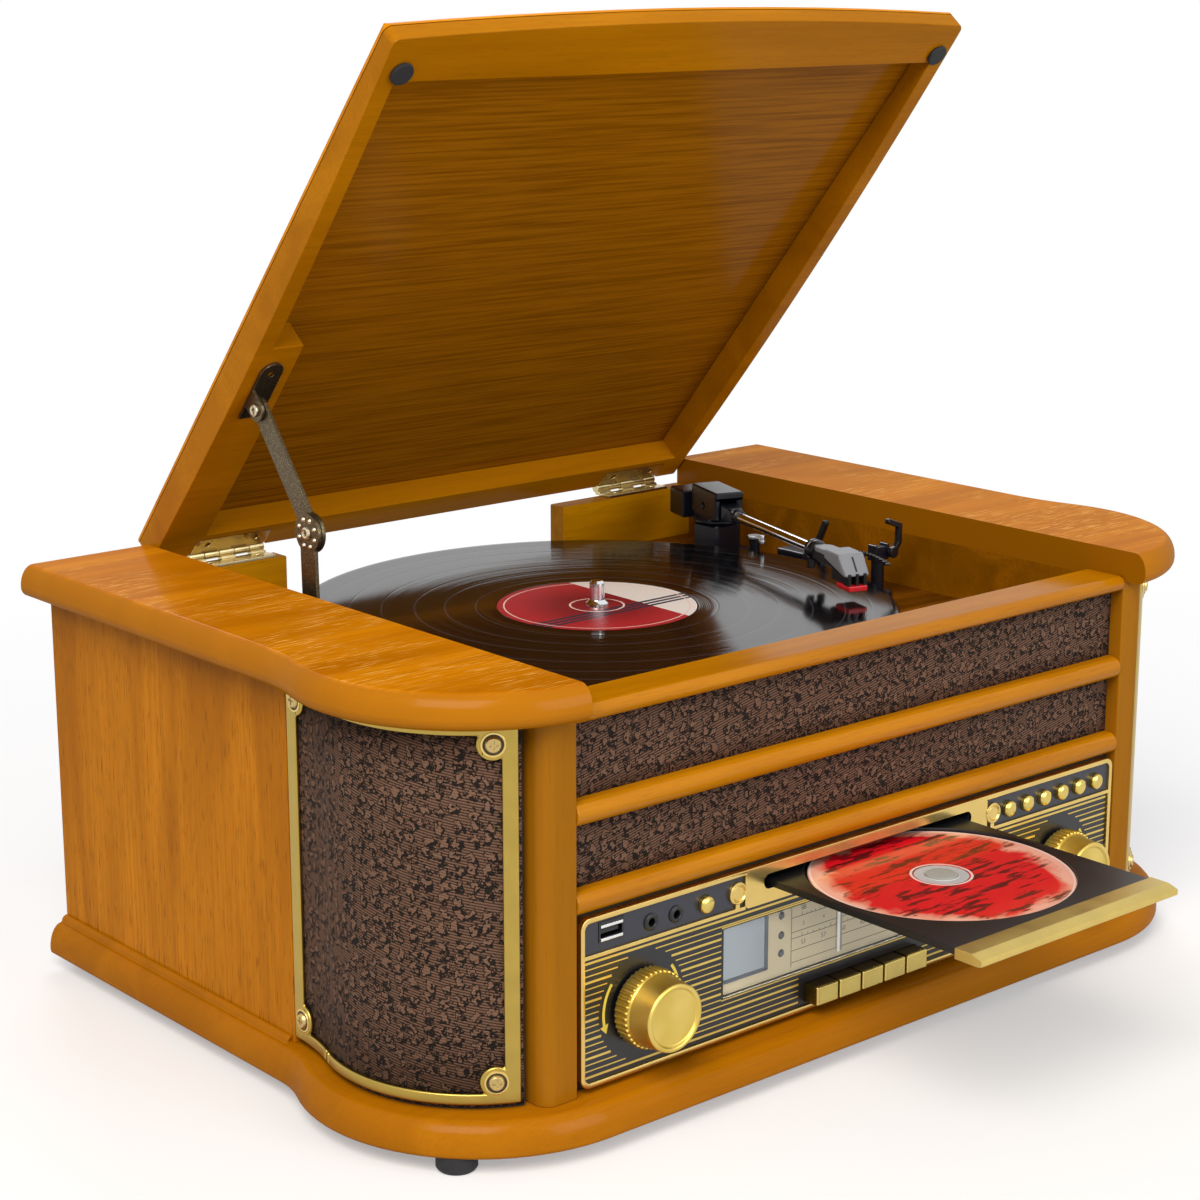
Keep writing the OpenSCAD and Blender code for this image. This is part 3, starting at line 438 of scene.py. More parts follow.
# the front arc's centre and radius, and where the second arc meets the side panel
CORNER = (174.0, 72.0)
CORNER_R = 70.0
SIDE, BEND_Y = 235.0, 126.5
BEND_R = ((SIDE - CORNER[0]) ** 2 + (BEND_Y - CORNER[1]) ** 2 - CORNER_R ** 2) / (
    2 * (CORNER_R - SIDE + CORNER[0]))
BEND_A = math.atan2(BEND_Y - CORNER[1], SIDE + BEND_R - CORNER[0])
START_A = math.radians(-68.0)
CLOTH_INSET = 2.7
CLOTH_LOW, CLOTH_HIGH = 24.4, 191.6


def round_corner(along, inset):
    """Plan point and outward direction at a distance in mm along the loudspeaker's face."""
    first = (CORNER_R - inset) * (BEND_A - START_A)
    if along <= first:
        a = START_A + along / (CORNER_R - inset)
        out = (math.cos(a), math.sin(a))
        return (CORNER[0] + (CORNER_R - inset) * out[0],
                CORNER[1] + (CORNER_R - inset) * out[1]), out
    a = math.pi + BEND_A - (along - first) / (BEND_R + inset)
    out = (-math.cos(a), -math.sin(a))
    return (SIDE + BEND_R + (BEND_R + inset) * math.cos(a),
            BEND_Y + (BEND_R + inset) * math.sin(a)), out


# a wave texture repeats every metre at this Scale
WAVE = 0.31416
RIB, YARN, MOTIF = 0.0012, 0.0011, 0.0064


def jacquard(name):
    """Brown figured loudspeaker cloth: twill ribs, crossing yarns and curled raised motifs."""
    made, tree = new_material(name)
    coords = add(tree, "UVMap", uv_map="cloth").outputs[0]
    bent = add(tree, "TexNoise", {"Vector": coords, "Scale": 400.0, "Detail": 1.0}).outputs["Color"]
    pushed = add(tree, "VectorMath", {0: bent, 1: (0.5, 0.5, 0.5)}, operation="SUBTRACT").outputs[0]
    pushed = add(tree, "VectorMath", {0: pushed, "Scale": 0.0085}, operation="SCALE").outputs[0]
    curled = add(tree, "VectorMath", {0: coords, 1: pushed}, operation="ADD").outputs[0]
    # each motif has a dark outline, heavier on one side where its shadow falls
    shifted = add(tree, "VectorMath", {0: curled, 1: (0.0005, 0.0007, 0)}, operation="ADD").outputs[0]
    motif, below = [add(tree, "TexVoronoi", {"Vector": place, "Scale": 1 / MOTIF, "Randomness": 0.45},
                        voronoi_dimensions="2D").outputs["Distance"] for place in (curled, shifted)]
    body = span(tree, motif, 0.27, 0.24)
    edge = add(tree, "Math", {0: add(tree, "Math", {0: span(tree, below, 0.42, 0.37),
                                                    1: span(tree, motif, 0.40, 0.35)},
                                     operation="MAXIMUM").outputs[0], 1: body},
               operation="SUBTRACT").outputs[0]
    rib = add(tree, "TexWave", {
        "Vector": add(tree, "Mapping", {"Vector": coords, "Rotation": (0, 0, 1.35)}).outputs[0],
        "Scale": WAVE / RIB, "Distortion": 0.6, "Detail": 1.0, "Detail Scale": 3.0}).outputs[0]
    yarn = add(tree, "TexWave", {
        "Vector": add(tree, "Mapping", {"Vector": coords, "Rotation": (0, 0, -0.5)}).outputs[0],
        "Scale": WAVE / YARN, "Distortion": 0.4}).outputs[0]
    shade = add(tree, "TexNoise", {"Vector": coords, "Scale": 900.0, "Detail": 1.0}).outputs[0]
    tone = blend(tree, rib, srgb("#281A13"), srgb("#745644"))
    tone = blend(tree, span(tree, yarn, 0.3, 1.0, 0.0, 0.35), tone, srgb("#4C382C"))
    tone = blend(tree, span(tree, body, 0, 1, 0, 0.75), tone,
                 blend(tree, shade, srgb("#604436"), srgb("#80624E")))
    tone = blend(tree, span(tree, edge, 0, 1, 0, 0.95), tone, srgb("#0C0704"))
    height = add(tree, "Math", {0: span(tree, rib, 0, 1, 0, 0.35), 1: body},
                 operation="ADD").outputs[0]
    bump = add(tree, "Bump", {"Height": height, "Strength": 0.7, "Distance": 0.0006}).outputs[0]
    shader = add(tree, "BsdfPrincipled", {"Base Color": tone, "Normal": bump, "Roughness": 0.85,
                                          "Specular IOR Level": 0.2})
    add(tree, "OutputMaterial", {0: shader.outputs[0]})
    return made


def stretch_cloth(name, wide, low, high, shape, material, nodes, parts):
    """A flat cut of cloth wide by (high - low) mm, laid by shape(along, height)."""
    mesh = bmesh.new()
    bmesh.ops.create_grid(mesh, x_segments=parts[0], y_segments=parts[1], size=0.5)
    layer = mesh.loops.layers.uv.new("cloth")
    for face in mesh.faces:
        for loop in face.loops:
            loop[layer].uv = ((loop.vert.co.x + 0.5) * wide / 1000,
                              (loop.vert.co.y + 0.5) * (high - low) / 1000 + low / 1000)
    for vert in mesh.verts:
        vert.co = shape((vert.co.x + 0.5) * wide, low + (vert.co.y + 0.5) * (high - low))
    piece = make_piece(name, mesh, material, "cabinet", nodes, weigh=False)
    wall = piece.modifiers.new("weave_thickness", "SOLIDIFY")
    wall.thickness, wall.offset = 0.0008, 0.0
    return piece


corner_cloth = jacquard("woven_jacquard_cloth")
face_length = (CORNER_R - CLOTH_INSET) * (BEND_A - START_A) + (BEND_R + CLOTH_INSET) * BEND_A
for side, sign in (("left", -1), ("right", 1)):
    def around(along, height, sign=sign):
        (x, y), _ = round_corner(along, CLOTH_INSET)
        return at(sign * x, y, height)

    stretch_cloth("corner_cloth_" + side, face_length, CLOTH_LOW, CLOTH_HIGH, around,
                  corner_cloth, ("speaker_cloths",), (72, 4))

cone_paper = moulded("pressed_cone_paper", "#1C1B1B", 0.8, 1.2, 0.3)
dress(cone_paper, "speaker_units")


def plated(name, colour, rough):
    """Plated or turned metal: its gloss wanders a little over patches 11 mm across."""
    made, tree = new_material(name)
    coords = add(tree, "TexCoord").outputs["Object"]
    brush = add(tree, "TexNoise", {"Vector": coords, "Scale": 90.0, "Detail": 2.0}).outputs[0]
    base = srgb(colour)
    tone = blend(tree, span(tree, brush, 0.35, 0.65), [c * 0.93 for c in base[:3]] + [1.0], base)
    bump = add(tree, "Bump", {"Height": brush, "Strength": 0.03, "Distance": 0.0001}).outputs[0]
    shader = add(tree, "BsdfPrincipled", {"Base Color": tone, "Normal": bump, "Metallic": 1.0,
                                          "Roughness": span(tree, brush, 0.3, 0.7, rough, rough * 1.2)})
    add(tree, "OutputMaterial", {0: shader.outputs[0]})
    return made


frame_gold = plated("satin_gold_plate", "#B49A4C", 0.30)
bright_gold = plated("bright_gold_plate", "#E0C274", 0.22)
for side in ("left", "right"):
    eased("speaker_frame_" + side, 0.9, frame_gold, segments=3)
eased("frame_screws", 0.15, plated("yellow_zinc_screw", "#C4AC70", 0.28))

SCREW_HEIGHTS = (36.0, 183.6)
seats, painted_shadows = bmesh.new(), bmesh.new()
screw_dish = [(4.3, -0.2), (4.5, 0.30), (4.9, 0.36), (5.3, 0.22), (5.5, -0.2), (4.3, -0.2)]
# a dark flat ring in each seat's hollow: painted shadow of the dished recess
dish_painted_shadow = [(3.0, -0.2), (4.5, -0.2), (4.5, 0.1), (3.0, 0.1), (3.0, -0.2)]
for sign in (-1, 1):
    for height in SCREW_HEIGHTS:
        for centre, a in ((CORNER, math.radians(-58.0)),
                          ((SIDE + BEND_R, BEND_Y), math.pi + 6.5 / BEND_R)):
            reach = CORNER_R if centre is CORNER else BEND_R
            x, y = centre[0] + reach * math.cos(a), centre[1] + reach * math.sin(a)
            flip = 1 if centre is CORNER else -1
            seat = facing(sign * x, y, height, (sign * flip * math.cos(a), flip * math.sin(a), 0))
            turn(seats, screw_dish, seat, 28)
            turn(painted_shadows, dish_painted_shadow, seat, 28)
make_piece("screw_seats", seats, bright_gold, "cabinet")
make_piece("screw_seat_painted_shadows", painted_shadows, moulded("painted_seat_shadow", "#2E2410", 0.5), "cabinet")

# Front cloth bands
# The same brown figured cloth, cut in strips and stretched over two thin boards that
# are pressed in between the mouldings.
BAND_HALF, BAND_FACE = 177.3, 7.5
band_cloth = jacquard("woven_band_cloth")
bands = bmesh.new()
for name, low, high in (("upper", 154.0, 187.8), ("lower", 114.6, 143.1)):
    block(bands, (-BAND_HALF, 8.2, low), (BAND_HALF, 12.9, high), 0.3)
    stretch_cloth("band_cloth_" + name, 2 * BAND_HALF, low, high,
                  lambda along, height: at(along - BAND_HALF, BAND_FACE, height), band_cloth,
                  ("front_cloths",), (60, 4))
make_piece("band_boards", bands, fibreboard, "cabinet")

# Deck, corner blocks and hinges
# The deck is a darker veneered board. Two solid blocks carry steel butt hinges with a
# brass finish, their knuckles turned on one pin, each leaf held by two screws.
deck_oak = oak("oak_veneer_deck", "X", "#8A520C", "#563004", "#341C02", 19.0)
block_oak = oak("oak_corner_block", "X", "#BE8202", "#9C6602", "#744402", 23.0, open_pores=0.2)
eased("deck_board", 0.3, deck_oak)
eased("hinge_blocks", 0.6, block_oak)
hinge_brass = plated("brass_plated_steel", "#CDBB8C", 0.2)
eased("cabinet_fittings", 0.25, hinge_brass)

# Turntable
# Die-cast platter, satin; a ribbed rubber mat; and the record, black pressed vinyl whose
# groove bands part at six silent rings round a paper label, the rings painted lighter grey as a sheen.
RECORD = (-15.0, 176.0, 179.0)
platter_alloy = plated("turned_aluminium", "#B8BABD", 0.25)
eased("platter", 0.4, platter_alloy)
eased("platter_mat", 0.4, rubber)


def radial(tree, x, y, z):
    """Coordinates in metres from a point of the drawing."""
    coords = add(tree, "TexCoord").outputs["Object"]
    return add(tree, "VectorMath", {0: coords, 1: tuple(at(x, y, z))},
               operation="SUBTRACT").outputs[0]


def off_axis(tree, spot):
    """How far in metres a spot lies from an upright axis."""
    flat = add(tree, "VectorMath", {0: spot, 1: (1, 1, 0)}, operation="MULTIPLY").outputs[0]
    return add(tree, "VectorMath", {0: flat}, operation="LENGTH").outputs["Value"]


def ringed(tree, tone, distance, radius, half, colour):
    """Lays a ring, or along one axis a stripe, of a colour over the tone, sizes in metres."""
    ring = add(tree, "Math", {0: distance, 1: radius, 2: half}, operation="COMPARE").outputs[0]
    return blend(tree, ring, tone, srgb(colour))


vinyl, tree = new_material("pressed_vinyl")
distance = off_axis(tree, radial(tree, *RECORD))
# grooves are 0.1 mm apart; they are drawn at 1 mm so that they show
groove = add(tree, "Math", {0: add(tree, "Math", {0: distance, 1: math.tau / 0.0010},
                                   operation="MULTIPLY").outputs[0]}, operation="SINE").outputs[0]
loudness = add(tree, "TexNoise", {"W": add(tree, "Math", {0: distance, 1: 330.0},
                                           operation="MULTIPLY").outputs[0],
                                  "Scale": 1.0, "Detail": 3.0}, noise_dimensions="1D").outputs[0]
height = add(tree, "Math", {0: groove, 1: span(tree, loudness, 0.3, 0.7, 0.1, 1.0)},
             operation="MULTIPLY").outputs[0]
bump = add(tree, "Bump", {"Height": height, "Strength": 0.05, "Distance": 0.0002}).outputs[0]
tone = blend(tree, span(tree, loudness, 0.35, 0.65), srgb("#050507"), srgb("#101014"))
SILENT = (137.0, 123.5, 107.5, 91.0, 76.0, 60.5)
# the silent rings are drawn lighter grey: a painted sheen on their smooth lands
for ring in SILENT:
    tone = ringed(tree, tone, distance, ring / 1000, 0.0004, "#34373E")
shader = add(tree, "BsdfPrincipled", {"Base Color": tone, "Normal": bump, "Roughness": 0.09,
                                      "Specular IOR Level": 0.4})
add(tree, "OutputMaterial", {0: shader.outputs[0]})

disc_profile = [(3.7, -1.5), (149.5, -1.5), (150.5, -0.9), (150.5, -0.4), (149.8, 0.05), (147.5, 0.0)]
for ring in SILENT:
    disc_profile += [(ring + 0.7, 0.0), (ring + 0.4, -0.06), (ring - 0.4, -0.06), (ring - 0.7, 0.0)]
disc_profile += [(57.5, 0.0), (57.0, -0.12), (51.5, -0.12), (51.0, 0.02), (50.2, 0.02), (50.0, -0.2),
                 (3.7, -0.2), (3.7, -1.5)]
turntable_top = Matrix.Translation(at(*RECORD))
record_mesh = bmesh.new()
turn(record_mesh, disc_profile, turntable_top, 192)
make_piece("vinyl_record", record_mesh, vinyl, "turntable", ("record",), ease=60)

label_paper, tree = new_material("printed_label_paper")
spot = radial(tree, *RECORD)
parts = add(tree, "SeparateXYZ", {0: spot})
distance = off_axis(tree, spot)
tone = blend(tree, span(tree, distance, 0.020, 0.040), srgb("#7E1420"), srgb("#A81E28"))
chord = add(tree, "Math", {0: parts.outputs[0], 1: 0.020}, operation="GREATER_THAN").outputs[0]
tone = blend(tree, chord, tone, srgb("#E4DED8"))
for height in (-0.010, -0.014, -0.018):
    tone = ringed(tree, tone, parts.outputs[1], height, 0.0012, "#20283C")
for radius, half in ((0.0465, 0.0004), (0.0135, 0.0005)):
    tone = ringed(tree, tone, distance, radius, half, "#E8C8C0")
shader = add(tree, "BsdfPrincipled", {"Base Color": tone, "Roughness": 0.42})
add(tree, "OutputMaterial", {0: shader.outputs[0]})
label = bmesh.new()
turn(label, [(3.7, -0.25), (49.8, -0.25), (50.0, 0.06), (49.6, 0.12), (18.0, 0.12), (17.6, 0.0),
             (16.8, 0.0), (16.4, 0.12), (3.9, 0.12), (3.7, 0.0), (3.7, -0.25)], turntable_top, 96)
make_piece("record_label", label, label_paper, "turntable")

spindle = bmesh.new()
turn(spindle, [(0, 13.0), (2.6, 12.8), (3.75, 11.6), (3.85, 3.2), (4.4, 2.4), (5.6, 1.4), (5.8, 0.2),
               (0, 0.2)], turntable_top, 32)
make_piece("spindle_cap", spindle, plated("polished_spindle", "#E6E8EA", 0.12), "turntable")

# Tonearm
# Moulded black housings with chamfered edges, a chrome-plated tube, a grey plastic
# headshell with a red stylus holder, and a lever, hook and switch beside them.
DECK_TOP = 164
ARM = Matrix.Translation(at(139.0, 253.0, 195.6)) @ Matrix.Rotation(math.radians(-107.0), 4, "Z")
ALONG = Matrix.Rotation(math.radians(90), 4, "Y")


def hull(mesh, points, ease=0.0, place=None, segments=2):
    """A convex body round points in mm, its edges eased."""
    part = bmesh.new()
    for point in points:
        part.verts.new(Vector(point) / 1000)
    bmesh.ops.convex_hull(part, input=part.verts)
    bmesh.ops.dissolve_limit(part, angle_limit=math.radians(1), use_dissolve_boundaries=False,
                             verts=part.verts, edges=part.edges)
    bmesh.ops.recalc_face_normals(part, faces=part.faces)
    if ease:
        bmesh.ops.bevel(part, geom=list(part.edges), offset=ease / 1000, offset_type="OFFSET",
                        affect="EDGES", segments=segments, profile=0.5, material=-1,
                        clamp_overlap=True)
    bmesh.ops.transform(part, matrix=place or Matrix(), verts=part.verts)
    pour(mesh, part)


def both_sides(*points):
    """Points given for one side, and their mirror images across the arm."""
    return [(x, side * y, z) for x, y, z in points for side in (-1, 1)]


arm_black = moulded("moulded_abs_blue_black", "#0D0F18", 0.30, 0.7, 0.05)
black = moulded("moulded_abs_black", "#0E0E11", 0.36, 0.8, 0.06)
foot = bmesh.new()
turn(foot, [(0, 0), (24, 0), (24, 5.2), (23.2, 6), (0, 6)], Matrix.Translation(at(139.5, 253, DECK_TOP)),
     64)
block(foot, (136, 186, DECK_TOP), (160, 253, 169.9), 0.8)
block(foot, (142, 188, 169), (158, 208, 180), 1.2)
block(foot, (130.0, 243.0, 169), (149.5, 262.5, 187.9), 1.6, segments=1)
turn(foot, [(0, 5), (3, 5), (3, 17.4), (2.4, 18), (0, 18)], Matrix.Translation(at(141, 224, DECK_TOP)),
     24)
turn(foot, [(0, 0), (8, 0), (8, 2.4), (7.4, 3), (3.5, 3.2), (3.5, 21), (0, 21)],
     Matrix.Translation(at(150, 140, DECK_TOP)), 32)
for left, right in ((144.0, 145.6), (152.6, 154.4)):
    block(foot, (left, 136, 184), (right, 142, 192.6), 0.6)
block(foot, (144.2, 136.2, 184.1), (154.2, 141.8, 191.4), 0.5)
make_piece("tonearm_foot", foot, arm_black, "cabinet", ("tonearm_base",))
eased("tonearm_gimbal", 0.9, arm_black, segments=1)
housing = bmesh.new()
block(housing, (-9, -4.5, -3), (17, 4.5, 4.5), 0.6, ARM)
hull(housing, both_sides((16.5, 5.6, -4.5), (16.5, 5.6, 4.8), (24, 4.2, 4.0), (27, 3.4, 3.0),
                         (27, 3.4, -3.2)), 0.7, ARM, 1)
hull(housing, both_sides((-41, 7.5, -7), (-41, 7.5, 4.5), (-37, 11, -9), (-37, 11, 6.5),
                         (-20, 11, -9), (-20, 11, 6.5)), 0.8, ARM, 1)
block(housing, (-22, -5, -5), (-8, 5, 4), 1.0, ARM)
turn(housing, [(0, 0), (3.9, 0), (3.9, 3.4), (3.3, 4), (0, 4)],
     ARM @ Matrix.Translation((0.026, 0, 0)) @ ALONG, 24)
turn(housing, [(0, 0), (2.4, 0), (2.4, 0.8), (1.6, 1.0), (0, 1.0)],
     ARM @ Matrix.Translation((-0.041, 0, 0)) @ Matrix.Rotation(math.radians(-90), 4, "Y"), 20)
make_piece("arm_housing", housing, arm_black, "tonearm", ("tonearm_tube",))
tube = bmesh.new()
turn(tube, [(0, 26), (2.7, 26), (2.7, 118), (0, 118)], ARM @ ALONG, 32)
make_piece("arm_tube", tube, plated("polished_chrome", "#E2E5EA", 0.07), "tonearm")

shell = bmesh.new()
turn(shell, [(0, 0), (4.6, 0), (5.3, 1), (5.3, 3), (4.7, 3.6), (5.3, 4.2), (5.3, 6.5), (4.4, 8), (0, 8)],
     ARM @ Matrix.Translation((0.112, 0, 0)) @ ALONG, 12)
hull(shell, both_sides((118, 3.6, -3.8), (118, 3.6, 1.6), (142, 4.8, -4.2), (142, 4.8, 1.8)), 0.6, ARM, 1)
hull(shell, both_sides((142, 5.0, -9.5), (142, 5.0, 1), (156, 5.0, -9.5), (156, 5.0, 1)), 0.5, ARM, 1)
for across in (-4.4, 0.0, 4.4):
    block(shell, (155.5, across - 0.9, -9.8), (160.5, across + 0.9, -3.5), 0.3, ARM)
for across in (-3.0, 3.0):
    turn(shell, [(0, -9.0), (1.9, -9.0), (2.2, -8.2), (2.2, -4.4), (0, -4.0)],
         ARM @ Matrix.Translation((0.117, across / 1000, 0)), 14)
make_piece("headshell_body", shell, black, "tonearm", ("headshell",))
cap = bmesh.new()
hull(cap, both_sides((119, 2.6, 1.2), (119, 2.6, 3.4), (125, 5.2, 3.8), (125, 5.2, 1.2),
                     (139, 5.4, 4.0), (139, 5.4, 1.2)), 0.5, ARM, 1)
hull(cap, both_sides((138, 7.3, 0.8), (138, 7.3, 5.4), (153, 7.3, 5.4), (160.5, 6.9, -4.6),
                     (158.5, 6.9, -5.2), (151, 7.3, 0.8)), 0.55, ARM, 1)
make_piece("headshell_cap", cap, moulded("moulded_grey_abs", "#7C7F85", 0.4, 0.8, 0.05), "tonearm")
slope = ARM @ Matrix.Translation((0.1571, 0, 0.0004)) @ Matrix.Rotation(
    math.atan2(10.0, 7.5), 4, "Y")
slit = bmesh.new()
block(slit, (-4.5, -0.35, -0.1), (3.6, 0.35, 0.25), 0.0, slope)
make_piece("headshell_slit", slit, black, "tonearm")
lift = bmesh.new()
for step in range(9):
    reach = step / 8
    a = math.radians(12 + 50 * reach)
    turn(lift, [(0, -1.7), (0.75, -1.4), (0.9, 0), (0.75, 1.4), (0, 1.7)],
         ARM @ Matrix.Translation(((150 + 5 * reach) / 1000, (7.0 + 13 * reach) / 1000,
                                   (4.2 - 5.5 * reach * reach) / 1000))
         @ Matrix.Rotation(math.radians(-110), 4, "X") @ Matrix.Rotation(a - math.pi / 4, 4, "X"), 10)
make_piece("finger_lift", lift, black, "tonearm")
holder = bmesh.new()
block(holder, (148, -5.3, -12.4), (161.5, 5.3, -9.6), 0.6, ARM)
turn(holder, [(0, -14.4), (0.3, -14.2), (0.9, -12.2), (0, -12.2)],
     ARM @ Matrix.Translation((0.157, 0, 0)), 12)
make_piece("stylus_holder", holder, moulded("red_stylus_plastic", "#C0141E", 0.35), "tonearm")
eased("cue_lever", 0.5, black)
eased("speed_lever", 0.4, platter_alloy)
eased("arm_clip", 0.5, black)

# Fascia
# A moulded panel: slate blue along the top, near-black below, printed with gold rules,
# every third one heavier. Gold-plated trim frames it and the slot of the tray.
panel_abs, tree = new_material("printed_gloss_panel")
coords = add(tree, "TexCoord").outputs["Object"]
TOP_STRIP = 85.0
upper = add(tree, "Math", {0: add(tree, "SeparateXYZ", {0: coords}).outputs[2], 1: TOP_STRIP / 1000},
            operation="GREATER_THAN").outputs[0]
haze = add(tree, "TexNoise", {"Vector": coords, "Scale": 60.0, "Detail": 2.0}).outputs[0]
tone = blend(tree, upper, srgb("#0C0D12"), srgb("#20232F"))
tone = blend(tree, span(tree, haze, 0.3, 0.7, 0.0, 0.12), tone, srgb("#2C303C"))
shader = add(tree, "BsdfPrincipled", {"Base Color": tone, "Roughness": 0.30, "Coat Weight": 0.08,
                                      "Coat Roughness": 0.15})
add(tree, "OutputMaterial", {0: shader.outputs[0]})
dress(panel_abs, "fascia_panel")


def rounded(x0, z0, x1, z1, radius):
    """Outline of a rectangle with round corners, in mm."""
    out, steps = [], 8
    for cx, cz, start in ((x1 - radius, z1 - radius, 0), (x0 + radius, z1 - radius, 90),
                          (x0 + radius, z0 + radius, 180), (x1 - radius, z0 + radius, 270)):
        for step in range(steps + 1):
            a = math.radians(start + 90 * step / steps)
            out.append((cx + radius * math.cos(a), cz + radius * math.sin(a)))
    return out


def plate(mesh, outlines, front, back, ease):
    """A flat upright plate from its outer and inner outlines, its edges eased."""
    part = bmesh.new()
    rims = []
    for outline in outlines:
        ring = [part.verts.new(at(x, front, z)) for x, z in outline]
        rims += [part.edges.new((a, b)) for a, b in zip(ring, ring[1:] + ring[:1])]
    bmesh.ops.triangle_fill(part, edges=rims, use_beauty=True)
    grown = bmesh.ops.extrude_face_region(part, geom=list(part.faces))["geom"]
    bmesh.ops.translate(part, vec=(0, (back - front) / 1000, 0),
                        verts=[v for v in grown if isinstance(v, bmesh.types.BMVert)])
    bmesh.ops.recalc_face_normals(part, faces=part.faces)
    sharp = [e for e in part.edges
             if len(e.link_faces) == 2 and e.calc_face_angle(0) > math.radians(60)]
    bmesh.ops.bevel(part, geom=sharp, offset=ease / 1000, offset_type="OFFSET", affect="EDGES",
                    segments=2, profile=0.5, material=-1, clamp_overlap=True)
    pour(mesh, part)


trim = bmesh.new()
plate(trim, (rounded(-175.6, 25.7, 175.6, 102.6, 5), rounded(-173.2, 28.1, 173.2, 100.2, 3)),
      -0.25, 5.8, 0.5)
plate(trim, (rounded(-80.5, 84.4, 80.5, 101.6, 2.5), rounded(-69, 90.7, 69, 97.7, 3.4)),
      -0.3, 0.95, 0.3)
for sign in (-1, 1):
    inner, outer = sorted((sign * 80.0, sign * 174.0))
    block(trim, (inner, -0.2, 84.1), (outer, 0.95, 85.9), 0.25)
    block(trim, (sign * 84.8 - 1.3, -0.15, 85.2), (sign * 84.8 + 1.3, 0.95, 88.6), 0.2)
    turn(trim, [(0, 0.9), (3.0, 0.85), (3.4, 0.5), (3.7, 0.5), (4.1, 1.2), (4.7, 1.2), (5.1, 0.8),
                (5.2, -0.6), (0, -0.6)], facing(sign * 84.8, 0.3, 92.9, (0, -1, 0)), 44)
make_piece("fascia_trim_cast", trim, bright_gold, "cabinet", ("fascia_trim",))

VOLUME, TUNING = (-140.5, 56.0), (135.5, 56.0)
BARE_RADIUS = 24.5
RULES, LOWEST_RULE, RULE_PITCH, RULE_END = 19, 30.4, 2.87, 172.6


def rule(mesh, x0, x1, z, thick, y=1.0, proud=0.09):
    """One printed rule across the panel."""
    block(mesh, (x0, y - proud, z - thick / 2), (x1, y + 0.03, z + thick / 2))


def blocked(z):
    """Stretches of the panel that carry no rules at height z."""
    taken = []
    for centre in (VOLUME, TUNING):
        rise = abs(z - centre[1])
        if rise < BARE_RADIUS:
            half = math.sqrt(BARE_RADIUS ** 2 - rise ** 2)
            taken.append((centre[0] - half, centre[0] + half))
    if 43.6 < z < 78.8:
        taken.append((-93.6, 94.4))
    if z < 44.2:
        taken.append((-45.0, 38.0))
    return taken


def clear_runs(z, low, high):
    """The runs of a rule at height z that no blocked stretch covers."""
    runs, start = [], low
    for left, right in sorted(blocked(z)):
        if left > start:
            runs.append((start, min(left, high)))
        start = max(start, right)
    if start < high:
        runs.append((start, high))
    return [r for r in runs if r[1] - r[0] > 2]


print_mesh = bmesh.new()
for step in range(RULES):
    z = LOWEST_RULE + RULE_PITCH * step
    for left, right in clear_runs(z, -RULE_END, RULE_END):
        rule(print_mesh, left, right, z, 1.05 if step % 3 == 0 else 0.55)
for z in (44.2, 78.3):
    rule(print_mesh, -93.4, 94.2, z, 0.6)
make_piece("panel_rules", print_mesh, plated("hot_foil_gold", "#D8BC66", 0.35), "cabinet")

arrows = bmesh.new()
for centre in (VOLUME, TUNING):
    for start, sweep_a in ((142.0, 50.0), (38.0, -50.0)):
        part = bmesh.new()
        a0 = math.radians(start)
        ends = [part.verts.new((r * math.cos(a0) / 1000, 0, r * math.sin(a0) / 1000))
                for r in (21.0, 22.4)]
        edge = part.edges.new(ends)
        bmesh.ops.spin(part, geom=ends + [edge], cent=(0, 0, 0), axis=(0, -1, 0),
                       angle=math.radians(sweep_a), steps=14, use_merge=False)
        tip = math.radians(start + sweep_a * 1.07)
        head = bmesh.ops.create_circle(part, cap_ends=True, radius=0.0027, segments=3)["verts"]
        turn_to = Matrix.Rotation(-tip - (0 if sweep_a > 0 else math.pi), 4, "Y") @ Matrix.Rotation(
            math.pi / 2, 4, "X")
        bmesh.ops.transform(part, matrix=Matrix.Translation(
            (21.7 * math.cos(tip) / 1000, 0, 21.7 * math.sin(tip) / 1000)) @ turn_to, verts=head)
        bmesh.ops.solidify(part, geom=list(part.faces), thickness=0.00008)
        bmesh.ops.recalc_face_normals(part, faces=part.faces)
        bmesh.ops.translate(part, vec=at(centre[0], 0.92, centre[1]), verts=part.verts)
        pour(arrows, part)
make_piece("turn_arrows", arrows, moulded("printed_yellow_ink", "#D9C24A", 0.4), "cabinet")

# Dial
# A printed cream plate behind a clear window, with a small grey display, three dark
# lamps, fine scale lines and plain numbers, and a polished pointer that slides along it.
DIAL_PLATE = 3.5
cream = moulded("printed_cream_plate", "#C9BD9C", 0.5)
ink = moulded("printed_grey_ink", "#5A5648", 0.5)
dial = bmesh.new()
block(dial, (-91.9, DIAL_PLATE, 45.1), (92.7, 10.6, 77.3), 0.2)
make_piece("dial_plate", dial, cream, "cabinet", ("dial_scale",))
display = bmesh.new()
block(display, (-91.4, 2.7, 52.4), (-65.4, 3.8, 77.0), 0.3)
make_piece("display_glass", display, moulded("grey_display_glass", "#8F9AA2", 0.15, coat=0.6), "cabinet")
edge_bar = bmesh.new()
block(edge_bar, (-65.4, 2.5, 50.6), (-63.2, 3.8, 77.2), 0.3)
block(edge_bar, (-91.6, 2.5, 50.6), (-63.2, 3.8, 52.4), 0.3)
make_piece("display_bezel", edge_bar, moulded("display_bezel_plastic", "#4C5560", 0.35), "cabinet")
marks = bmesh.new()
for z in (71.0, 64.0, 61.0, 55.2, 49.5):
    rule(marks, -47.6, 92.5, z, 0.35, DIAL_PLATE, 0.05)
block(marks, (-48.0, 3.44, 47.5), (-47.6, 3.53, 77.2))
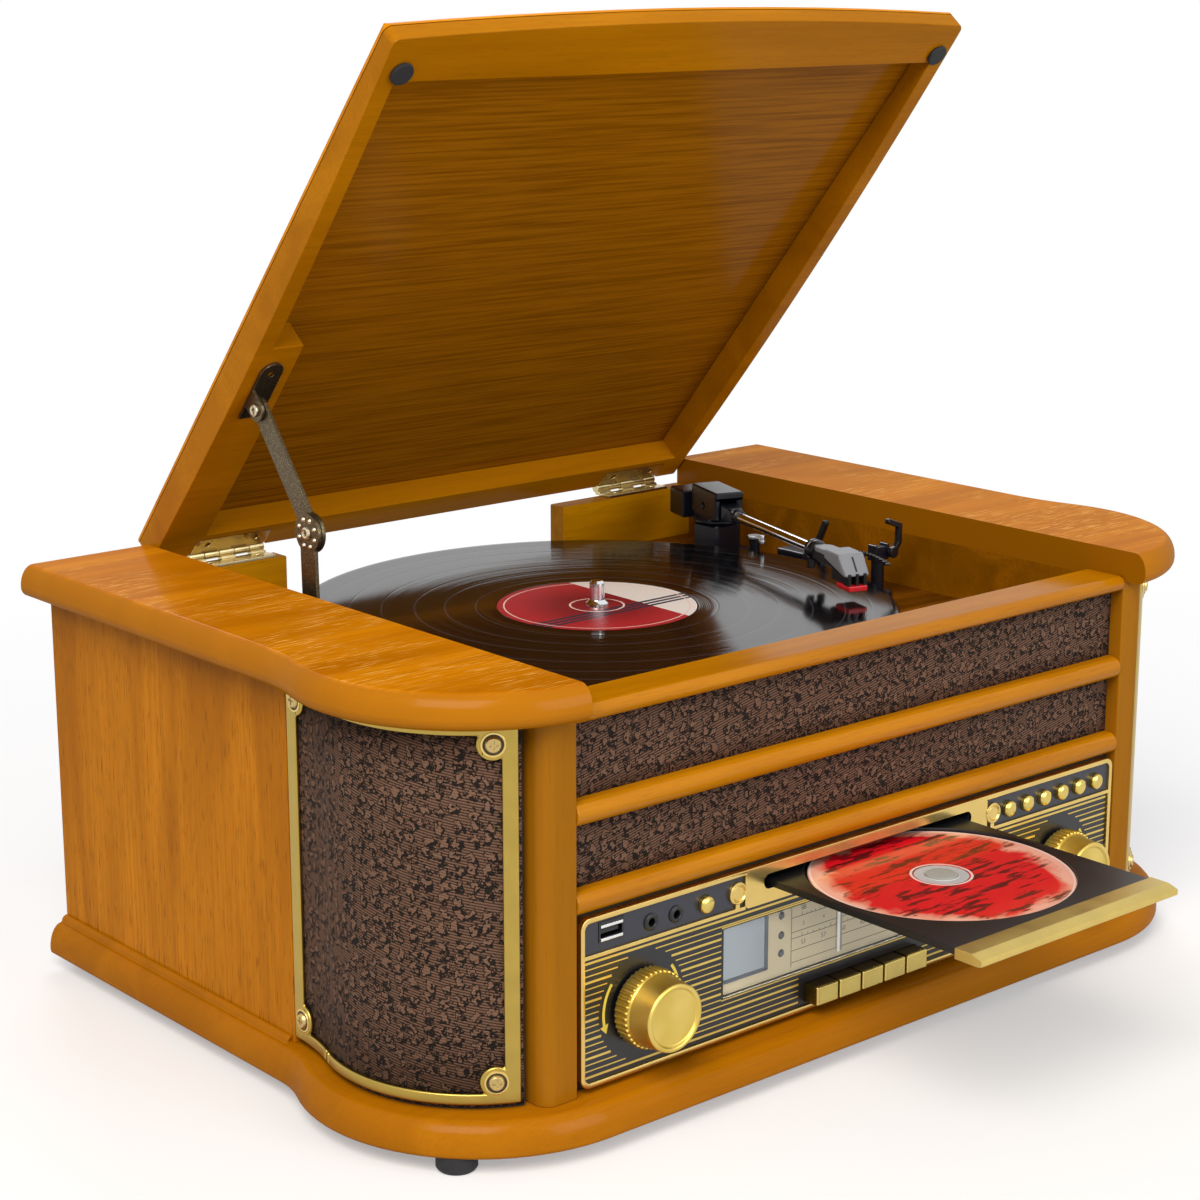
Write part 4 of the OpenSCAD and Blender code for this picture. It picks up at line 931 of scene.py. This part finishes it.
for row, count in ((71.0, 47), (61.0, 36)):
    for step in range(count):
        x = -41 + 131 * step / (count - 1)
        block(marks, (x - 0.15, 3.44, row), (x + 0.15, 3.53, row + (1.8 if step % 5 == 0 else 1.0)))
for row, size, words in (
        (73.6, 3.2, ("88", "90", "92", "94", "96", "98", "100", "102", "104", "106", "108")),
        (66.2, 2.6, ("2", "4", "6", "8", "10", "12", "14", "16", "18", "20", "22")),
        (57.0, 3.2, ("53", "57", "60", "65", "70", "80", "90", "100", "120", "140", "160"))):
    for step, word in enumerate(words):
        letters = bpy.data.curves.new("figure", "FONT")
        letters.body, letters.size, letters.align_x, letters.extrude = word, size / 1000, "CENTER", 3e-5
        holder_object = bpy.data.objects.new("figure", letters)
        scene.collection.objects.link(holder_object)
        bpy.context.view_layer.update()
        flat_mesh = bpy.data.meshes.new_from_object(
            holder_object.evaluated_get(bpy.context.evaluated_depsgraph_get()))
        flat_mesh.transform(Matrix.Translation(at(-40 + 13.0 * step, 3.47, row))
                            @ Matrix.Rotation(math.pi / 2, 4, "X"))
        marks.from_mesh(flat_mesh)
        bpy.data.objects.remove(holder_object)
        bpy.data.meshes.remove(flat_mesh)
make_piece("dial_marks", marks, ink, "cabinet")
lamps = bmesh.new()
for z in (56.0, 64.6, 74.0):
    turn(lamps, [(0, 1.0), (1.1, 0.8), (1.7, 0.2), (1.9, 0.0), (0, 0)],
         facing(-54.2, DIAL_PLATE, z, (0, -1, 0)), 24)
make_piece("dial_lamps", lamps, moulded("dark_lamp_lens", "#3A3E48", 0.2, coat=0.5), "cabinet")
needle = bmesh.new()
block(needle, (-18.6, 2.6, 47.6), (-16.8, 3.3, 76.6), 0.25)
make_piece("pointer_needle", needle, moulded("white_pointer_paint", "#F4F4F2", 0.3), "pointer",
           ("dial_pointer",))
# a grey strip beside the needle, on the side away from the key light: painted shadow of the needle
needle_painted_shadow = bmesh.new()
block(needle_painted_shadow, (-16.7, 2.8, 47.9), (-15.3, 3.3, 76.4), 0.2)
make_piece("pointer_painted_shadow", needle_painted_shadow, moulded("grey_pointer_painted_shadow", "#8C8C88", 0.3), "pointer")

window_clear, tree = new_material("clear_acrylic_window")
dust = add(tree, "TexNoise", {"Vector": add(tree, "TexCoord").outputs["Object"], "Scale": 25.0})
shader = add(tree, "BsdfPrincipled", {
    "Base Color": (1, 1, 1, 1), "IOR": 1.1, "Transmission Weight": 1.0, "Coat Weight": 0.4,
    "Roughness": span(tree, dust.outputs[0], 0.3, 0.7, 0.0, 0.02)})
add(tree, "OutputMaterial", {0: shader.outputs[0]})
dress(window_clear, "dial_window")

# Sockets on the fascia
# A flat data port with a white tongue in a tinned shell, and two jack sockets with
# black threaded rings.
dress(black, "front_sockets")
port = bmesh.new()
for z in (91.0, 96.9):
    block(port, (-164.2, 0.1, z - 0.7), (-151.8, 3.0, z + 0.7), 0.3)
make_piece("port_shell", port, plated("tinned_port_shell", "#E8EAEC", 0.2), "cabinet")
jacks = bmesh.new()
for x in (-135.5, -121.0):
    turn(jacks, [(1.9, -3), (1.9, 0.8), (2.3, 1.2), (3.0, 1.2), (3.9, 0.5), (3.9, -1), (1.9, -3)],
         facing(x, 1.0, 92.0, (0, -1, 0)), 36)
make_piece("jack_rings", jacks, black, "cabinet")


# Knobs
# Two turned knobs plated satin gold: a knurled skirt, a plain taper and a dished face
# with fine turning marks inside a raised lip.
def turned_gold(name, x, z):
    """Satin gold with concentric turning marks about the knob's axis."""
    made, tree = new_material(name)
    spot = radial(tree, x, 0.0, z)
    marks_w = add(tree, "TexWave", {"Vector": spot, "Scale": WAVE / 0.0011, "Distortion": 0.5},
                  wave_type="RINGS", rings_direction="Y").outputs[0]
    soft = add(tree, "TexNoise", {"Vector": spot, "Scale": 40.0}).outputs[0]
    tone = blend(tree, span(tree, soft, 0.3, 0.7), srgb("#C9AC4C"), srgb("#DEC672"))
    bump = add(tree, "Bump", {"Height": marks_w, "Strength": 0.05, "Distance": 0.0002}).outputs[0]
    shader = add(tree, "BsdfPrincipled", {"Base Color": tone, "Normal": bump, "Metallic": 1.0,
                                          "Roughness": span(tree, marks_w, 0, 1, 0.30, 0.42)})
    add(tree, "OutputMaterial", {0: shader.outputs[0]})
    return made


RIDGES = 40
for body, node, (x, z) in (("volume", "volume_knob", VOLUME), ("tuning", "tuning_knob", TUNING)):
    knob = bmesh.new()
    axis = facing(x, 0.0, z, (0, -1, 0))
    turn(knob, [(0, -15.6), (3, -15.6), (3, 0.5), (16.6, 0.5), (17.0, 1.0), (17.0, 8.0), (16.6, 9.0),
                (16.0, 9.6), (15.4, 19.8), (15.1, 20.6), (14.5, 21.0), (13.6, 21.0), (13.1, 20.6),
                (12.8, 19.9), (12.3, 19.6), (0, 19.4)], axis, 96)
    for step in range(RIDGES):
        ridge = axis @ Matrix.Rotation(math.tau * step / RIDGES, 4, "Z")
        ridge = ridge @ Matrix.Translation((0.0169, 0, 0))
        turn(knob, [(0, 0.9), (0.95, 1.4), (1.0, 7.6), (0.7, 8.5), (0, 8.9)], ridge, 8)
    make_piece(node + "_turned", knob, turned_gold("turned_gold_" + body, x, z), body, (node,),
               ease=48)

# Keys and push buttons
# Five piano keys with a flat gold face and a body in the same gold painted darker as shade,
# and seven domed buttons, all plated plastic.
key_gold = plated("gold_plated_key", "#D3BC6C", 0.26)
# the keys' bodies: the face's gold darkened, painted shade on the tops and sides
key_painted_shade = plated("key_body_painted_shade", "#6E5A2A", 0.35)
KEYS = (-33.65, -18.65, -3.65, 11.35, 26.35)
KEY_HALF, KEY_LOW, KEY_HIGH = 6.85, 29.5, 38.5
for number, x in enumerate(KEYS, 1):
    key = bmesh.new()
    block(key, (x - KEY_HALF, -5.6, KEY_LOW), (x + KEY_HALF, 12, KEY_HIGH), 0.35)
    make_piece("key_%d_body" % number, key, key_painted_shade, "key_%d" % number,
               ("key_%d" % number,))
    face = bmesh.new()
    block(face, (x - KEY_HALF, -7.0, KEY_LOW), (x + KEY_HALF, -5.5, KEY_HIGH), 0.7, segments=3)
    block(face, (x - KEY_HALF + 1.25, -7.12, KEY_LOW + 1.2), (x + KEY_HALF - 1.25, -6.9, KEY_HIGH - 1.2),
          0.08)
    make_piece("key_%d_face" % number, face, key_gold, "key_%d" % number)
button_gold = plated("gold_plated_button", "#D9C06A", 0.2)
BUTTONS, BUTTON_HEIGHT = (-103.9, 96.8, 110.1, 123.1, 136.3, 149.6, 162.8), 92.5
for number, x in enumerate(BUTTONS, 1):
    button = bmesh.new()
    turn(button, [(0, -11.5), (3.8, -11.5), (4.0, 0.6), (3.9, 1.3), (3.4, 1.9), (2.4, 2.3), (1.2, 2.48),
                  (0, 2.5)], facing(x, 0, BUTTON_HEIGHT, (0, -1, 0)), 40)
    make_piece("button_%d_dome" % number, button, button_gold, "button_%d" % number,
               ("button_%d" % number,), ease=60)

# Disc tray
# A thin moulded tray with a round recess, a heavy bevelled bezel plated satin gold, and
# a printed disc with a clear hub.
tray_black = moulded("moulded_abs_tray", "#0E0F12", 0.34, 0.6, 0.05)
eased("cd_tray", 0.5, tray_black)
bezel_section = ((-108.8, 95.0), (-118.5, 95.0), (-123.9, 93.3), (-123.9, 90.6), (-121.5, 90.0),
                 (-108.8, 90.0))
bezel = bmesh.new()
hull(bezel, [(x, y - MIDDLE, z) for x in (-65.4, 65.4) for y, z in bezel_section], 0.45)
make_piece("tray_bezel_plated", bezel, plated("satin_gold_bezel", "#D2B868", 0.30), "tray",
           ("tray_bezel",))
DISC = (0.0, -43.2, 92.25)
disc_print, tree = new_material("screen_printed_disc")
spot = radial(tree, *DISC)
distance = off_axis(tree, spot)
wash = add(tree, "TexNoise", {"Vector": spot, "Scale": 38.0, "Detail": 3.0, "Distortion": 1.2}).outputs[0]
strokes = add(tree, "TexNoise", {
    "Vector": add(tree, "Mapping", {"Vector": spot, "Rotation": (0, 0, 0.9),
                                    "Scale": (45, 260, 100)}).outputs[0],
    "Scale": 1.0, "Detail": 4.0, "Roughness": 0.65}).outputs[0]
reach = add(tree, "Math", {0: distance, 1: span(tree, wash, 0.3, 0.7, -0.006, 0.006)},
            operation="ADD").outputs[0]
tone = blend(tree, span(tree, reach, 0.049, 0.0535), srgb("#D8121F"), srgb("#E89078"))
tone = blend(tree, span(tree, strokes, 0.52, 0.57, 0.0, 0.9), tone, srgb("#3E0A10"))
tone = blend(tree, span(tree, reach, 0.0535, 0.057), tone, srgb("#EEB09A"))
for radius, half, code in ((0.0590, 0.0005, "#F6D8CC"), (0.0137, 0.0006, "#F0D0C8")):
    tone = ringed(tree, tone, distance, radius, half, code)
shader = add(tree, "BsdfPrincipled", {"Base Color": tone, "Roughness": 0.28, "Coat Weight": 0.5,
                                      "Coat Roughness": 0.08})
add(tree, "OutputMaterial", {0: shader.outputs[0]})
disc = bmesh.new()
disc_place = Matrix.Translation(at(*DISC))
turn(disc, [(12.4, 0), (59.6, 0), (60, 0.3), (60, 0.9), (59.6, 1.2), (12.6, 1.2), (12.4, 1.1), (12.4, 0)],
     disc_place, 128)
make_piece("printed_disc", disc, disc_print, "tray", ("disc",))
hub = bmesh.new()
turn(hub, [(7.5, 0), (12.5, 0), (12.5, 1.1), (11.6, 1.25), (10.6, 1.1), (8.2, 1.1), (7.8, 1.35),
           (7.5, 1.1), (7.5, 0)], disc_place, 64)
make_piece("disc_hub", hub, moulded("frosted_hub", "#C4C6C6", 0.25, coat=0.3), "tray")
boss = bmesh.new()
turn(boss, [(0, 0.2), (7.3, 0.2), (7.3, 1.5), (6.6, 1.9), (0, 1.7)], disc_place, 48)
make_piece("disc_boss", boss, moulded("grey_clamp_plastic", "#A4A69E", 0.4), "tray")

# Lid
# A veneered panel with a bowed front, framed underneath by rails; its inside is darker,
# partly a darker stain and partly painted shade on the faces that look down. Two rubber bumpers are let
# into the front corners.
lid_oak = oak("oak_veneer_lid", "X", "#DE9010", "#C07606", "#9A5A04", 29.0, lid=True, open_pores=0.4,
              inside=("#985F08", "#7C4A04"))
lid_rail = oak("oak_lid_rail", "X", "#B87606", "#965C02", "#6A3E02", 31.0, lid=True, open_pores=0.15,
               figure=0.5)
eased("lid_panel", 0.0, lid_oak)
eased("lid_frame", 0.7, lid_rail)
eased("lid_bumpers", 0.9, rubber, segments=3)


# Folding stay
# Two flat links stamped from steel and plated antique brass, rubbed bright on the
# dimples; rivets join them, and the elbow's disc has a ring of eight dimples.
antique = moulded("antique_brass_plate", "#5C503C", 0.34, 0.55, 0.1, metal=0.9, fleck="#8E8060")
rubbed = plated("rubbed_brass", "#D6CDB4", 0.28)
HINGES_BEHIND = 300
for name, finish, slot, near in (("hinge_lid_leaves", hinge_brass, "brass", False),
                                 ("stay_bracket", antique, "antique", True)):
    half = merged("lid_fittings")
    others = [f for f in half.faces if (f.calc_center_median().y < at(0, HINGES_BEHIND, 0).y) != near]
    bmesh.ops.delete(half, geom=others, context="FACES")
    soften(half, 0.3)
    make_piece(name, half, finish, "lid", ("lid_fittings",))
eased("stay_upper_arm", 0.3, antique)
eased("stay_lower_arm", 0.3, antique)
STAY = {"lid": (241.877, 286.221), "elbow": (201.7, 233.7)}
RIVET_SIDE, DIMPLE_SIDE = -170.9, -170.3
DIMPLES, DIMPLE_RING = 8, 6.6
dimples = bmesh.new()
for step in range(DIMPLES):
    a = math.tau * (step + 0.5) / DIMPLES
    turn(dimples, [(0, 0.8), (0.7, 0.65), (1.15, 0.2), (1.25, -0.1), (0, -0.1)],
         facing(DIMPLE_SIDE, STAY["elbow"][0] + DIMPLE_RING * math.cos(a),
                STAY["elbow"][1] + DIMPLE_RING * math.sin(a), (-1, 0, 0)), 14)
make_piece("elbow_dimples", dimples, rubbed, "stay_lower")
for name, key, body in (("elbow_rivet", "elbow", "stay_lower"), ("bracket_rivet", "lid", "lid")):
    rivet = bmesh.new()
    turn(rivet, [(1.2, -0.3), (1.4, 0.5), (2.1, 0.8), (2.9, 0.4), (3.1, -0.3), (1.2, -0.3)],
         facing(RIVET_SIDE, STAY[key][0], STAY[key][1], (-1, 0, 0)), 28)
    make_piece(name, rivet, rubbed, body)

# Behind the fascia and at the back
# Printed board and power supply on the plinth, the disc mechanism, and the sockets in
# the back panel.
dress(moulded("solder_resist_green", "#1E5A34", 0.4), "electronics")
dress(black, "cd_mechanism")
eased("rear_sockets", 0.3, black)

low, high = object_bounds()
